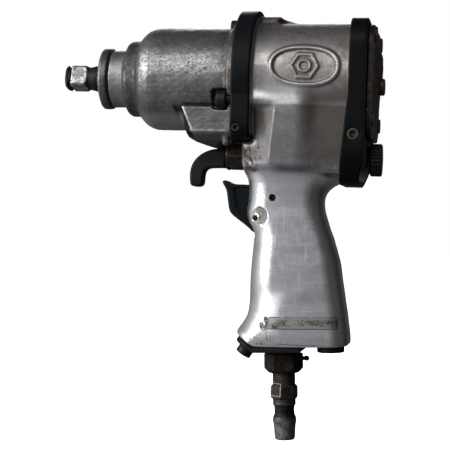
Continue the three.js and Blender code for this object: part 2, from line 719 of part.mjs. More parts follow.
const throttleBush = () =>
  cut(
    tubeX(128, 138, 3.5, 6, 14, THROTTLE_AXIS),
    rodY(VALVE_PIN, -9, 9, 1.45),
    cylinderZ(THROTTLE_Z, THROTTLE_Z + 9, 2.4, 10, 134.6),
  );

// Stem with the valve head, slotted across for the valve pin.
function throttleStem() {
  const profile = [
    [121.7, 1.6], [122.2, 2.1], [127.4, 2.1], [127.9, 3.15], [138.2, 3.15], [138.4, 5.3],
    [141.2, 5.3], [141.8, 4.4], [141.8, 1.9], [145, 1.9],
  ];
  const slot = box(127.5, 132.9, -6, 6, THROTTLE_Z - 1.45, THROTTLE_Z + 1.45);
  return cut(revolveX(profile, 12, THROTTLE_AXIS), slot);
}

// Coil spring behind the valve head.
const SPRING = { x: 142.6, length: 7.8, r: 3.6, turns: 3.5, wireR: 0.42 };
class Helix extends THREE.Curve {
  getPoint(t, target = new THREE.Vector3()) {
    const angle = t * SPRING.turns * Math.PI * 2;
    return target.set(
      SPRING.x + t * SPRING.length,
      SPRING.r * Math.cos(angle),
      THROTTLE_Z + SPRING.r * Math.sin(angle),
    );
  }
}
function throttleSpring() {
  const wire = new THREE.Shape();
  wire.absarc(0, 0, SPRING.wireR, 0, Math.PI * 2);
  return solid(new THREE.ExtrudeGeometry(wire, {
    steps: 44,
    curveSegments: 3,
    bevelEnabled: false,
    extrudePath: new Helix(),
  }));
}

// ---------- reverse valve, lever, regulator ----------
function reverseValve() {
  const profile = [
    [99, 7.4], [99.5, 8], [102, 8], [102.4, 7.3], [106.2, 7.3], [106.5, 6.7], [107.9, 6.7],
    [108.2, 7.3], [112.2, 7.3], [112.5, 5.2], [123, 5.2], [124, 3.6], [130, 3.6],
    [131, 5.2], [137, 5.2], [138, 3.6], [144, 3.6], [145, 5.2], [149, 5.2],
  ];
  return cut(revolveX(profile, 16, VALVE_AXIS), cylinderX(98, 104, 2.5, 10, VALVE_AXIS));
}

const reverseBush = () =>
  cut(
    tubeX(113.4, 150, 5.5, 6.45, 14, VALVE_AXIS),
    ...UPPER_WAY_XS.map((x) => cylinderZ(VALVE_Z, VALVE_Z + 9, 2.6, 10, x)),
    cylinderZ(VALVE_Z - 9, VALVE_Z, 2.6, 10, LOWER_WAY_X),
  );

const LEVER_SIDE = [
  // x, z
  [98.6, -41], [92.2, -41], [87.4, -43.4], [83.4, -47.1], [81.5, -50.4],
  [80.6, -54.5], [80.7, -61.9], [81.7, -62.9], [86.5, -62.9], [87.5, -61.9],
  [87.8, -55.4], [88.7, -53.2], [90.8, -52.1], [96, -51.9], [98.6, -50.4],
];
function reverseLever() {
  const frontView = [
    ...arc(...VALVE_AXIS, 4.2, 0, Math.PI, 10),
    [-5, -58], [-4.6, -64], [4.6, -64], [5, -58],
  ];
  const arm = prismY(LEVER_SIDE, -6, 6).intersect(prismX(frontView, 70, 99));
  return join(arm, cylinderX(98, 103.6, 2.2, 10, VALVE_AXIS));
}

// Knurled knob with a screwdriver slot, on a stem with a cross hole.
function regulatorKnob() {
  const knurl = Array.from({ length: 48 }, (_, i) => {
    const angle = (i / 48) * Math.PI * 2;
    const r = i % 2 === 0 ? 8.8 : 9.4;
    return [r * Math.cos(angle), VALVE_Z + r * Math.sin(angle)];
  });
  const body = join(
    prismX(knurl, 185, 191.2),
    cylinderX(183.7, 185.2, 8, 16, VALVE_AXIS),
    cylinderX(155, 184, 4.9, 12, VALVE_AXIS),
    revolveX([[191, 8.8], [191.8, 8]], 16, VALVE_AXIS),
  );
  return cut(
    body,
    box(190.6, 195, -7, 7, VALVE_Z - 0.7, VALVE_Z + 0.7),
    rod([160, 0, VALVE_Z - 9], [160, 0, VALVE_Z + 9], 2),
  );
}

// ---------- base of the handle, in the base frame ----------
// End plate: a flat part under the base and a slanted toe.
function endPlate() {
  const top = HANDLE_BOTTOM - 0.3;
  const thickness = 2.9;
  // [x, z] at a depth below the toe's face and a distance along it
  const onToe = (depth, along) =>
    toBase(
      TOE_POINT[0] + TOE_NORMAL[0] * depth + Math.cos(TOE_SLOPE) * along,
      TOE_POINT[1] + TOE_NORMAL[1] * depth - Math.sin(TOE_SLOPE) * along,
    );
  // where the toe's face meets the handle's bottom face, at one depth below both
  const bend = (depth) => {
    const [x0, z0] = onToe(depth, 0);
    const [x1, z1] = onToe(depth, 1);
    const z = HANDLE_BOTTOM - depth;
    return [x0 + ((z - z0) / (z1 - z0)) * (x1 - x0), z];
  };
  const profile = [
    onToe(0.3, 0.6), onToe(thickness, 1.4), bend(thickness + 0.3),
    [11.4, top - thickness], [11.9, top - thickness + 0.5], [11.9, top], bend(0.3),
  ];
  const planView = roundedRect(-30, 12, -17.6, 17.6, [3, 11, 11, 3], 3);
  return cut(
    prismY(profile, -19, 19).intersect(prismZ(planView, -12, 12)),
    cylinderZ(-8, 6, 9.2, 14),
    rod(toeScrewInBase(-9), toeScrewInBase(4), TOE_SCREW_HOLE_R),
  );
}

function endPlateScrew() {
  const head = rod(toeScrewInBase(0.6), toeScrewInBase(4.8), 4.7, 14);
  const shank = rod(toeScrewInBase(0.8), toeScrewInBase(-12), 1.85);
  const socket = rod(toeScrewInBase(2.8), toeScrewInBase(6.8), 2.3, 6);
  return cut(join(head, shank), socket);
}

const lockPin = () =>
  revolveX([[8.5, 1.2], [14.2, 1.2], [14.8, 0.7]], 10, [0, LOCK_PIN_Z]);

// Round exhaust plug with a slotted face.
function basePlug() {
  const profile = [[0.3, 7.4], [0.8, 7.9], [2.9, 7.9], [2.9, 7], [11, 7]];
  const [x0, x1] = [BASE_PLUG_X - 4, BASE_PLUG_X + 4];
  return cut(
    revolveZ(profile, 18, BASE_PLUG_X),
    cylinderZ(4.4, 15, 5.4, 14, BASE_PLUG_X),
    ...[-4, 0, 4].map((y) => box(x0, x1, y - 0.8, y + 0.8, -1, 6)),
  );
}

// Inlet bushing: hexagon head below, round spigot above.
function inletBushing() {
  const headProfile = [
    [-12.8, 8.2], [-11.6, 9.2], [-9.6, 11.1], [-2, 11.1], [-1.3, 10.4],
  ];
  const hex = prismZ(hexagon(19.3, [0, 0], 0.14), -12.8, -1.3);
  return cut(
    join(hex.intersect(revolveZ(headProfile, 20)), cylinderZ(-1.4, 20, 7.9, 16)),
    cylinderZ(-10, 24, 4.6, 12),
    cylinderZ(-18, -5, 6.9, 14),
    cylinderX(8.2, 16, 1.45, 10, [0, LOCK_PIN_Z]),
  );
}

// Thin cup, open at the top apart from its wall.
const inletScreen = () => revolveZ([[-4.5, 4.2], [4, 4.2], [4, 3.7], [-4, 3.7]]);

function airNipple() {
  const collar = [[-27.7, 7.3], [-26.6, 8.4], [-20.9, 8.4], [-19.8, 7.3]];
  const plug = [
    [-51.5, 5.3], [-50.6, 5.9], [-43.5, 6.2], [-40.2, 6.9], [-38.2, 6.7],
    [-37.2, 5.9], [-32, 5.9], [-31.3, 6.7], [-27.5, 6.7],
  ];
  const hex = prismZ(hexagon(14.6, [0, 0], 0.45), -27.7, -19.8);
  const body = join(
    revolveZ([[-5.4, 6.5], [-16.2, 6.6], [-20, 6.8]], 14),
    hex.intersect(revolveZ(collar, 18)),
    revolveZ(plug, 16),
  );
  return cut(body, cylinderZ(-60, -4, 3.6, 12));
}

// ---------- assembly ----------
const wrench = new THREE.Group();
const base = new THREE.Group();
base.position.set(BASE_X, 0, BASE_Z);
base.rotation.y = -LEAN;
wrench.add(base);

function add(name, piece, finish, parent = wrench) {
  const { vertProperties, triVerts } = piece.getMesh();
  const geometry = new THREE.BufferGeometry();
  const positions = new Float32Array(vertProperties);
  geometry.setAttribute("position", new THREE.BufferAttribute(positions, 3));
  geometry.setIndex(new THREE.BufferAttribute(new Uint32Array(triVerts), 1));
  geometry.computeVertexNormals();
  const mesh = new THREE.Mesh(geometry, new THREE.MeshStandardMaterial(finish));
  mesh.name = name;
  parent.add(mesh);
}

add("motor_housing", motorHousing(), ALUMINIUM);
add("hammer_case", hammerCase(), CAST);
add("case_gasket", caseGasket(), RUBBER);
CASE_BOLTS.forEach((axis, i) => {
  add(`case_bolt_${i + 1}`, socketScrewX(CASE_BOLT, axis), DARK_STEEL);
});
add("front_bumper_ring", frontBumperRing(), BLACK_PLASTIC);
add("rear_bumper_ring", rearBumperRing(), BLACK_PLASTIC);
add("ring_screw_1", socketScrewY(FRONT_SCREW, -1), DARK_STEEL);
add("ring_screw_2", socketScrewY(FRONT_SCREW, 1), DARK_STEEL);
add("ring_screw_3", socketScrewY(REAR_SCREW, -1), STEEL);
add("ring_screw_4", socketScrewY(REAR_SCREW, 1), STEEL);
add("rear_cover", rearCover(), ALUMINIUM);
COVER_BOLTS.forEach((axis, i) => {
  add(`cover_bolt_${i + 1}`, socketScrewX(COVER_BOLT, axis), STEEL);
});
add("oil_plug", socketScrewX(OIL_PLUG, OIL_PLUG_AXIS), STEEL);

add("anvil", anvil(), STEEL);
add("retaining_ring", retainingRing(), DARK_STEEL);
add("nose_seal", noseSeal(), RUBBER);
add("nose_o_ring", tubeX(30.55, 31.35, 16.3, 17.2, 20), RUBBER);
add("nose_bushing", noseBushing(), BRASS);
add("hammer_cage", hammerCage(), STEEL);
add("hammer_pin_1", hammerPin(1), STEEL);
add("hammer_pin_2", hammerPin(-1), STEEL);
add("hammer_1", hammer(59.2, 76.2, 1), STEEL);
add("hammer_2", hammer(77.2, 94.4, -1), STEEL);

add("rotor", rotor(), STEEL);
VANES.forEach((vane) => add(`vane_${vane + 1}`, vaneBlade(vane), VANE_BROWN));
add("motor_cylinder", motorCylinder(), STEEL);
add("front_end_plate", frontEndPlate(), CAST);
add("rear_end_plate", rearEndPlate(), CAST);
add("front_bearing", bearing(117.3, 123.4, 7.3, 12.9), STEEL);
add("rear_bearing", bearing(170.3, 176, 6.3, 11.1), STEEL);

add("trigger", trigger(), TRIGGER_BLUE);
add("trigger_pin", rodY(TRIGGER_PIVOT, -14.8, 14.8, 1.35), STEEL);
add("valve_pin", rodY(VALVE_PIN, -16.6, 16.6, 1.15), STEEL);
add("throttle_bush", throttleBush(), BRASS);
add("throttle_stem", throttleStem(), STEEL);
add("throttle_spring", throttleSpring(), STEEL);
add("reverse_valve", reverseValve(), VALVE_BROWN);
add("lever_seal", tubeX(106.6, 107.8, 6.8, 7.65, 16, VALVE_AXIS), SEAL_RED);
add("reverse_bush", reverseBush(), BRASS);
add("reverse_lever", reverseLever(), BLACK_PLASTIC);
add("regulator_knob", regulatorKnob(), STEEL);

add("end_plate", endPlate(), BLACK_PLASTIC, base);
add("end_plate_screw", endPlateScrew(), DARK_STEEL, base);
add("lock_pin", lockPin(), STEEL, base);
add("base_plug", basePlug(), DARK_STEEL, base);
add("inlet_bushing", inletBushing(), INLET_DARK, base);
add("inlet_screen", inletScreen(), BRASS, base);
add("air_nipple", airNipple(), NIPPLE_STEEL, base);
add("name_strip", nameStrip(), STRIP_GREY);

// set the tool back so that the drive's end face is at the origin
wrench.position.x = -DRIVE_X;

export default wrench;
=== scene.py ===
import json
import math

import bpy
import numpy as np
from mathutils import Matrix, Vector

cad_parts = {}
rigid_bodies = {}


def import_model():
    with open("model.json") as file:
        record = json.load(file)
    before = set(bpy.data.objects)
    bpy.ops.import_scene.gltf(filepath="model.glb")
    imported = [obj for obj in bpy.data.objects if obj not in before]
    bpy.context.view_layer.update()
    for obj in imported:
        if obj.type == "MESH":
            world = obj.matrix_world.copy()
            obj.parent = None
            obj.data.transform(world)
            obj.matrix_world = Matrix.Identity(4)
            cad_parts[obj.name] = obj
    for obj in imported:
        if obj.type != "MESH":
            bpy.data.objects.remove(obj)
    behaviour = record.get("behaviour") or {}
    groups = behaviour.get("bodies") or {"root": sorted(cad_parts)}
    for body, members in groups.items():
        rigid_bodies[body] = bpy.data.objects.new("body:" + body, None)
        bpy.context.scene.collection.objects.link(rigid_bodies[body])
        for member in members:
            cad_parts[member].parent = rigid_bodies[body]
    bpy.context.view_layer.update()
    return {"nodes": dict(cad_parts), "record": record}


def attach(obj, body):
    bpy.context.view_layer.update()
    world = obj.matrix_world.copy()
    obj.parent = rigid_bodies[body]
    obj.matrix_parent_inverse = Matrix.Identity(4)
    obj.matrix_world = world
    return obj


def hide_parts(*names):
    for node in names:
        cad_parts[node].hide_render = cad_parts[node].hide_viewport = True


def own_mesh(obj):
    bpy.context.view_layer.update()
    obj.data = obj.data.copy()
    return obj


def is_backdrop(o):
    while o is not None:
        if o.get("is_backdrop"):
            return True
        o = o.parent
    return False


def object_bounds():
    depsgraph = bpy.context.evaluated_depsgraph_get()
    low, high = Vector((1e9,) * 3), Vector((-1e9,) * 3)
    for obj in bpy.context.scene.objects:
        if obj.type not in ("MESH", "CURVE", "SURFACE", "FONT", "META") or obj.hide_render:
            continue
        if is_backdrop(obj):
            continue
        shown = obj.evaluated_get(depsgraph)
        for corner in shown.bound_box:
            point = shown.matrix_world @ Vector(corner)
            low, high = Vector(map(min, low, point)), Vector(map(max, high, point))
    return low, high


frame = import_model()
F32 = np.float32
DATUM = 1.5  # mm: lengths along the tool are counted from a point this far ahead of the drive's end face
FINE = 1.0


# ---------------------------------------------------------------- distance fields
def clip01(a):
    return np.clip(a, 0.0, 1.0)


def smooth(a, b, v):
    t = clip01((v - a) / (b - a))
    return t * t * (3 - 2 * t)


def uni(a, b, k=0.0):
    if k <= 0:
        return np.minimum(a, b)
    h = clip01(0.5 + 0.5 * (b - a) / k)
    return b + (a - b) * h - k * h * (1 - h)


def sub(a, b, k=0.0):
    return -uni(-a, b, k)


def inter(a, b, r=0.0):
    """Intersection with its edge rounded to radius r."""
    u, v = a + r, b + r
    return np.minimum(np.maximum(u, v), 0) + np.sqrt(np.maximum(u, 0) ** 2 + np.maximum(v, 0) ** 2) - r


def chamf(a, b, c):
    return np.maximum(np.maximum(a, b), (a + b + c) * 0.70710678)


def slab(x, x0, x1):
    return np.maximum(x0 - x, x - x1)


def hyp(a, b):
    return np.sqrt(a * a + b * b)


def chaikin(pts, n=2, closed=True):
    p = np.array(pts, float)
    for _ in range(n):
        q = np.roll(p, -1, 0)
        a, b = p * 0.75 + q * 0.25, p * 0.25 + q * 0.75
        if closed:
            p = np.stack([a, b], 1).reshape(-1, 2)
        else:
            mid = np.stack([a[:-1], b[:-1]], 1).reshape(-1, 2)
            p = np.vstack([p[:1], mid, p[-1:]])
    return p


def poly2(px, py, pts):
    """Signed distance to a closed polygon, negative inside."""
    pts = np.array(pts, float)
    px, py = np.broadcast_arrays(px, py)
    d = np.full(px.shape, 1e12)
    inside = np.zeros(px.shape, bool)
    n = len(pts)
    for i in range(n):
        ax, ay = pts[i]
        bx, by = pts[(i + 1) % n]
        ex, ey = bx - ax, by - ay
        wx, wy = px - ax, py - ay
        t = np.clip((wx * ex + wy * ey) / max(ex * ex + ey * ey, 1e-12), 0, 1)
        d = np.minimum(d, (wx - ex * t) ** 2 + (wy - ey * t) ** 2)
        if ay != by:
            c = (ay > py) != (by > py)
            inside ^= c & (px < (bx - ax) * (py - ay) / (by - ay) + ax)
    d = np.sqrt(d)
    return np.where(inside, -d, d)


def rev(axial, radial, profile, step=0.15):
    """A body of revolution: profile holds (axial, radius) from axis to axis."""
    prof = [tuple(p) for p in profile]
    poly = prof + [(a, -r) for a, r in reversed(prof) if r > 1e-6]
    a0, a1 = float(np.min(axial)), float(np.max(axial))
    r1 = float(np.max(radial))
    na, nr = max(2, int((a1 - a0) / step) + 2), max(2, int(r1 / step) + 2)
    T = poly2(np.linspace(a0, a1, na)[:, None], np.linspace(0, r1, nr)[None, :], poly).astype(F32)
    u = (axial - a0) / max(a1 - a0, 1e-9) * (na - 1)
    v = radial / max(r1, 1e-9) * (nr - 1)
    iu = np.clip(np.floor(u).astype(np.int32), 0, na - 2)
    iv = np.clip(np.floor(v).astype(np.int32), 0, nr - 2)
    fu, fv = (u - iu).astype(F32), (v - iv).astype(F32)
    iu, iv = np.broadcast_arrays(iu, iv)
    fu, fv = np.broadcast_arrays(fu, fv)
    return (T[iu, iv] * (1 - fu) + T[iu + 1, iv] * fu) * (1 - fv) + (T[iu, iv + 1] * (1 - fu) + T[iu + 1, iv + 1] * fu) * fv


def wobble(x, y, z, amp, size, seed=1):
    """Slow unevenness of a worn casting."""
    rng = np.random.RandomState(seed)
    out = 0.0
    for _ in range(4):
        k = rng.normal(size=3)
        k *= 2 * math.pi / size / np.linalg.norm(k) * rng.uniform(0.7, 1.4)
        out = out + np.sin(k[0] * x + k[1] * y + k[2] * z + rng.uniform(0, 6.28))
    return out * (amp / 2)


def hexd(a, b, af, turn=0.0):
    """Distance to a regular hexagon, across flats af."""
    d = None
    for i in range(3):
        t = turn + i * math.pi / 3
        e = np.abs(a * math.cos(t) + b * math.sin(t)) - af / 2
        d = e if d is None else np.maximum(d, e)
    return d


def nets(F, lo, h):
    """Surface nets of the zero level of F."""
    ins = F < 0
    s = np.zeros(tuple(n - 1 for n in F.shape), np.uint8)
    corners = [(i, j, k) for i in (0, 1) for j in (0, 1) for k in (0, 1)]
    nx, ny, nz = s.shape
    for i, j, k in corners:
        s += ins[i : i + nx, j : j + ny, k : k + nz]
    active = (s > 0) & (s < 8)
    idx = np.argwhere(active)
    ids = np.full(s.shape, -1, np.int64)
    ids[active] = np.arange(len(idx))
    vals = {c: F[idx[:, 0] + c[0], idx[:, 1] + c[1], idx[:, 2] + c[2]].astype(float) for c in corners}
    acc, cnt = np.zeros((len(idx), 3)), np.zeros(len(idx))
    for c in corners:
        for ax in range(3):
            if c[ax]:
                continue
            d = list(c)
            d[ax] = 1
            d = tuple(d)
            va, vb = vals[c], vals[d]
            m = (va < 0) != (vb < 0)
            t = np.where(m, va / np.where(m, va - vb, 1), 0)
            p = np.array(c, float)[None, :] + t[:, None] * (np.array(d) - np.array(c))[None, :]
            acc += np.where(m[:, None], p, 0)
            cnt += m
    verts = (idx + acc / cnt[:, None]) * h + np.array(lo)
    quads = []
    for ax in range(3):
        o = [a for a in range(3) if a != ax]
        sl = [slice(None)] * 3
        sl[ax] = slice(0, F.shape[ax] - 1)
        sl[o[0]] = slice(1, F.shape[o[0]] - 1)
        sl[o[1]] = slice(1, F.shape[o[1]] - 1)
        sh = list(sl)
        sh[ax] = slice(1, F.shape[ax])
        a, b = ins[tuple(sl)], ins[tuple(sh)]
        e = np.argwhere(a != b)
        if not len(e):
            continue
        first = a[e[:, 0], e[:, 1], e[:, 2]]
        g = e.copy()
        g[:, o[0]] += 1
        g[:, o[1]] += 1
        q = []
        for da, db in ((-1, -1), (0, -1), (0, 0), (-1, 0)):
            c = g.copy()
            c[:, o[0]] += da
            c[:, o[1]] += db
            q.append(ids[c[:, 0], c[:, 1], c[:, 2]])
        q = np.stack(q, 1)
        flip = first if ax != 1 else ~first
        q = np.where(flip[:, None], q, q[:, ::-1])
        quads.append(q)
    return verts, np.concatenate(quads)


def mesh_object(name, verts, quads, mat, smooth_angle=None):
    me = bpy.data.meshes.new(name)
    v = np.array(verts, float).copy()
    v[:, 0] -= DATUM
    v *= 0.001
    me.vertices.add(len(v))
    me.vertices.foreach_set("co", v.astype(F32).ravel())
    me.loops.add(quads.size)
    me.loops.foreach_set("vertex_index", quads.astype(np.int32).ravel())
    me.polygons.add(len(quads))
    me.polygons.foreach_set("loop_start", np.arange(0, quads.size, quads.shape[1], dtype=np.int32))
    me.polygons.foreach_set("loop_total", np.full(len(quads), quads.shape[1], np.int32))
    me.update(calc_edges=True)
    me.validate()
    me.polygons.foreach_set("use_smooth", np.ones(len(me.polygons), bool))
    if smooth_angle:
        me.set_sharp_from_angle(angle=math.radians(smooth_angle))
    me.update()
    me.materials.append(mat)
    ob = bpy.data.objects.new(name, me)
    bpy.context.scene.collection.objects.link(ob)
    return ob


def piece(name, body, nodes, lo, hi, h, field, mat, sharp=None):
    """Meshes a distance field over a box (mm), and lets it stand for CAD nodes."""
    h = h * FINE
    lo = np.array(lo, float) - 1.5 * h
    n = [int(math.ceil((b - a) / h)) + 3 for a, b in zip(lo, hi)]
    x = (lo[0] + h * np.arange(n[0])).astype(F32)[:, None, None]
    y = (lo[1] + h * np.arange(n[1])).astype(F32)[None, :, None]
    z = (lo[2] + h * np.arange(n[2])).astype(F32)[None, None, :]
    F = np.broadcast_to(field(x, y, z), n).astype(F32)
    verts, quads = nets(F, lo, h)
    ob = mesh_object(name, verts, quads, mat, sharp)
    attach(ob, body)
    if nodes:
        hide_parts(*nodes)
    return ob


# ---------------------------------------------------------------- materials
class Mat:
    """A small builder for node materials. Coordinates are millimetres in the part's frame."""

    def __init__(self, name):
        self.m = bpy.data.materials.new(name)
        self.m.use_nodes = True
        self.t = self.m.node_tree
        self.t.nodes.clear()
        self.out = self.n("ShaderNodeOutputMaterial")
        self.bsdf = self.n("ShaderNodeBsdfPrincipled")
        self.l(self.bsdf.outputs[0], self.out.inputs[0])
        tc = self.n("ShaderNodeTexCoord")
        mp = self.n("ShaderNodeMapping")
        mp.inputs["Scale"].default_value = (1000, 1000, 1000)
        self.l(tc.outputs["Object"], mp.inputs["Vector"])
        self.co = mp.outputs[0]
        self.bump_in = None
        self.tint = None

    def n(self, kind, **kw):
        nd = self.t.nodes.new(kind)
        for k, v in kw.items():
            setattr(nd, k, v)
        return nd

    def l(self, a, b):
        self.t.links.new(a, b)

    def put(self, sock, v):
        if isinstance(v, bpy.types.NodeSocket):
            self.l(v, sock)
        elif isinstance(v, (tuple, list)) and len(v) == 3 and len(sock.default_value) == 4:
            sock.default_value = (*v, 1)
        else:
            sock.default_value = v

    def scaled(self, s, rot=(0, 0, 0), loc=(0, 0, 0)):
        mp = self.n("ShaderNodeMapping")
        self.l(self.co, mp.inputs["Vector"])
        mp.inputs["Scale"].default_value = s
        mp.inputs["Rotation"].default_value = rot
        mp.inputs["Location"].default_value = loc
        return mp.outputs[0]

    def noise(self, scale, detail=3, rough=0.5, dist=0.0, vec=None):
        nd = self.n("ShaderNodeTexNoise")
        self.l(vec or self.co, nd.inputs["Vector"])
        nd.inputs["Scale"].default_value = scale
        nd.inputs["Detail"].default_value = detail
        nd.inputs["Roughness"].default_value = rough
        nd.inputs["Distortion"].default_value = dist
        return nd.outputs["Fac"]

    def voro(self, scale, vec=None, feature="F1", rand=1.0):
        nd = self.n("ShaderNodeTexVoronoi", feature=feature)
        self.l(vec or self.co, nd.inputs["Vector"])
        nd.inputs["Scale"].default_value = scale
        nd.inputs["Randomness"].default_value = rand
        return nd.outputs["Distance"]

    def ramp(self, f, stops, mode="LINEAR"):
        nd = self.n("ShaderNodeValToRGB")
        nd.color_ramp.interpolation = mode
        e = nd.color_ramp.elements
        while len(e) < len(stops):
            e.new(0.5)
        for i, (p, c) in enumerate(stops):
            e[i].position = p
            e[i].color = (c, c, c, 1) if not isinstance(c, (tuple, list)) else (*c, 1)
        self.l(f, nd.inputs[0])
        return nd.outputs[0]

    def mix(self, f, a, b, mode="MIX"):
        nd = self.n("ShaderNodeMix", data_type="RGBA", blend_type=mode)
        self.put(nd.inputs[0], f)
        self.put(nd.inputs[6], a)
        self.put(nd.inputs[7], b)
        return nd.outputs[2]

    def math(self, op, a, b=0.0, clamp=False):
        nd = self.n("ShaderNodeMath", operation=op, use_clamp=clamp)
        self.put(nd.inputs[0], a)
        self.put(nd.inputs[1], b)
        return nd.outputs[0]

    def add(self, a, b):
        return self.math("ADD", a, b)

    def mul(self, a, b):
        return self.math("MULTIPLY", a, b)

    def pos(self):
        s = self.n("ShaderNodeSeparateXYZ")
        self.l(self.co, s.inputs[0])
        return s.outputs

    def rng(self, v, a, b, c=0.0, d=1.0):
        nd = self.n("ShaderNodeMapRange", interpolation_type="SMOOTHSTEP")
        self.put(nd.inputs[0], v)
        for i, q in zip((1, 2, 3, 4), (a, b, c, d)):
            nd.inputs[i].default_value = q
        return nd.outputs[0]

    def spot(self, p, r0, r1, stretch=(1, 1, 1)):
        """1 near the point p (mm), 0 beyond r1."""
        v = self.n("ShaderNodeVectorMath", operation="SUBTRACT")
        self.l(self.co, v.inputs[0])
        v.inputs[1].default_value = p
        w = self.n("ShaderNodeVectorMath", operation="MULTIPLY")
        self.l(v.outputs[0], w.inputs[0])
        w.inputs[1].default_value = stretch
        q = self.n("ShaderNodeVectorMath", operation="LENGTH")
        self.l(w.outputs[0], q.inputs[0])
        return self.rng(q.outputs["Value"], r1, r0)

    def edges(self, lo=0.5, hi=0.56):
        g = self.n("ShaderNodeNewGeometry")
        return self.rng(g.outputs["Pointiness"], lo, hi)

    def bump(self, height, dist, strength=1.0):
        b = self.n("ShaderNodeBump")
        b.inputs["Strength"].default_value = strength
        b.inputs["Distance"].default_value = dist
        self.l(height, b.inputs["Height"])
        if self.bump_in:
            self.l(self.bump_in, b.inputs["Normal"])
        self.bump_in = b.outputs[0]

    def done(self, color, rough, metal=0.0, spec=None, coat=0.0, aniso=0.0):
        i = self.bsdf.inputs
        if self.tint is not None:
            self.put(i["Specular Tint"], self.tint)
        self.put(i["Base Color"], color)
        self.put(i["Roughness"], rough)
        self.put(i["Metallic"], metal)
        if spec is not None:
            i["Specular IOR Level"].default_value = spec
        i["Coat Weight"].default_value = coat
        if aniso:
            i["Anisotropic"].default_value = aniso
        if self.bump_in:
            self.l(self.bump_in, i["Normal"])
        return self.m


def scratches(m, density=0.5, seed=0):
    """Thin lines in several directions, 0 to 1."""
    out = None
    for i, rot in enumerate([(0.3, 0.9, 0.2), (1.1, -0.6, 0.5), (0.2, 2.1, 1.2), (0.7, 1.5, -0.4)]):
        v = m.scaled((0.05, 2.2, 2.2), rot=rot, loc=(seed * 3.1 + i * 17, i * 5.3, seed))
        f = m.noise(0.55, 2, 0.5, 0.2, v)
        line = m.ramp(f, [(0.0, 0), (0.5 - 0.012, 0), (0.5, 1), (0.5 + 0.012, 0), (1, 0)])
        gate = m.ramp(m.noise(0.07, 2, 0.5, 0, m.scaled((1, 1, 1), loc=(i * 31, seed * 7, 9))), [(0, 0), (1 - density, 0), (1.0 - density + 0.08, 1), (1, 1)])
        s = m.mul(line, gate)
        out = s if out is None else m.math("MAXIMUM", out, s)
    return out


def aluminium(name, base, dark, rough, stain=(0.16, 0.12, 0.08), stain_amt=0.4, pits=0.4, grain=0.01, speck=0.0, extra=None, wear=1.0):
    m = Mat(name)
    big = m.noise(0.045, 4, 0.55)
    mid = m.noise(0.25, 5, 0.6)
    fine = m.noise(1.1, 4, 0.65)
    col = m.mix(m.ramp(big, [(0.3, 0), (0.7, 1)]), base, dark)
    col = m.mix(m.mul(m.ramp(mid, [(0.42, 0), (0.72, 1)]), 0.3), col, tuple(c * 0.72 for c in dark))
    if speck:
        sp = m.noise(0.55, 6, 0.72, 0.3)
        col = m.mix(m.mul(m.ramp(sp, [(0.5, 0), (0.62, 1)]), speck), col, tuple(c * 0.32 for c in dark))
        col = m.mix(m.mul(m.ramp(sp, [(0.34, 1), (0.46, 0)]), speck * 0.8), col, tuple(min(1, c * 1.9) for c in base))
    # brown film where oil has dried
    film = m.mul(m.ramp(m.noise(0.07, 6, 0.65, 0.6), [(0.5, 0), (0.72, 1)]), stain_amt)
    col = m.mix(film, col, stain)
    # small pits, darker and rough
    pv = m.voro(0.55, vec=m.scaled((1, 1, 1), loc=(3, 7, 1)))
    pgate = m.ramp(m.noise(0.14, 3, 0.6), [(0.6, 0), (0.7, 1)])
    pit = m.mul(m.ramp(pv, [(0.0, 1), (0.12, 1), (0.2, 0), (1, 0)]), m.mul(pgate, pits))
    col = m.mix(pit, col, (0.03, 0.025, 0.02))
    sc = scratches(m, 0.45)
    col = m.mix(m.mul(sc, 0.2 * wear), col, (0.9, 0.9, 0.9))
    cav = m.edges(0.5, 0.44)
    col = m.mix(m.mul(cav, 0.75), col, (0.05, 0.042, 0.034))
    ed = m.edges(0.515, 0.57)
    col = m.mix(m.mul(ed, 0.45 * wear), col, (0.92, 0.92, 0.93))
    r = m.add(m.mul(m.ramp(mid, [(0.3, 0), (0.7, 1)]), 0.10), rough)
    r = m.add(r, m.mul(film, 0.25))
    r = m.add(r, m.mul(pit, 0.4))
    r = m.math("ADD", r, m.mul(cav, 0.25), clamp=True)
    metal = m.math("SUBTRACT", 1.0, m.mul(cav, 0.5), clamp=True)
    gate = None
    if extra:
        col, r, metal, gate = extra(m, col, r, metal)
    h = m.add(m.mul(fine, grain), m.mul(m.noise(0.45, 3, 0.5), grain * 2.0))
    if gate is not None:
        h = m.mul(h, gate)
    h = m.add(h, m.mul(pit, -0.06))
    h = m.add(h, m.mul(sc, -0.006))
    m.bump(h, 0.001, 1.0)
    return m.done(col, r, metal)


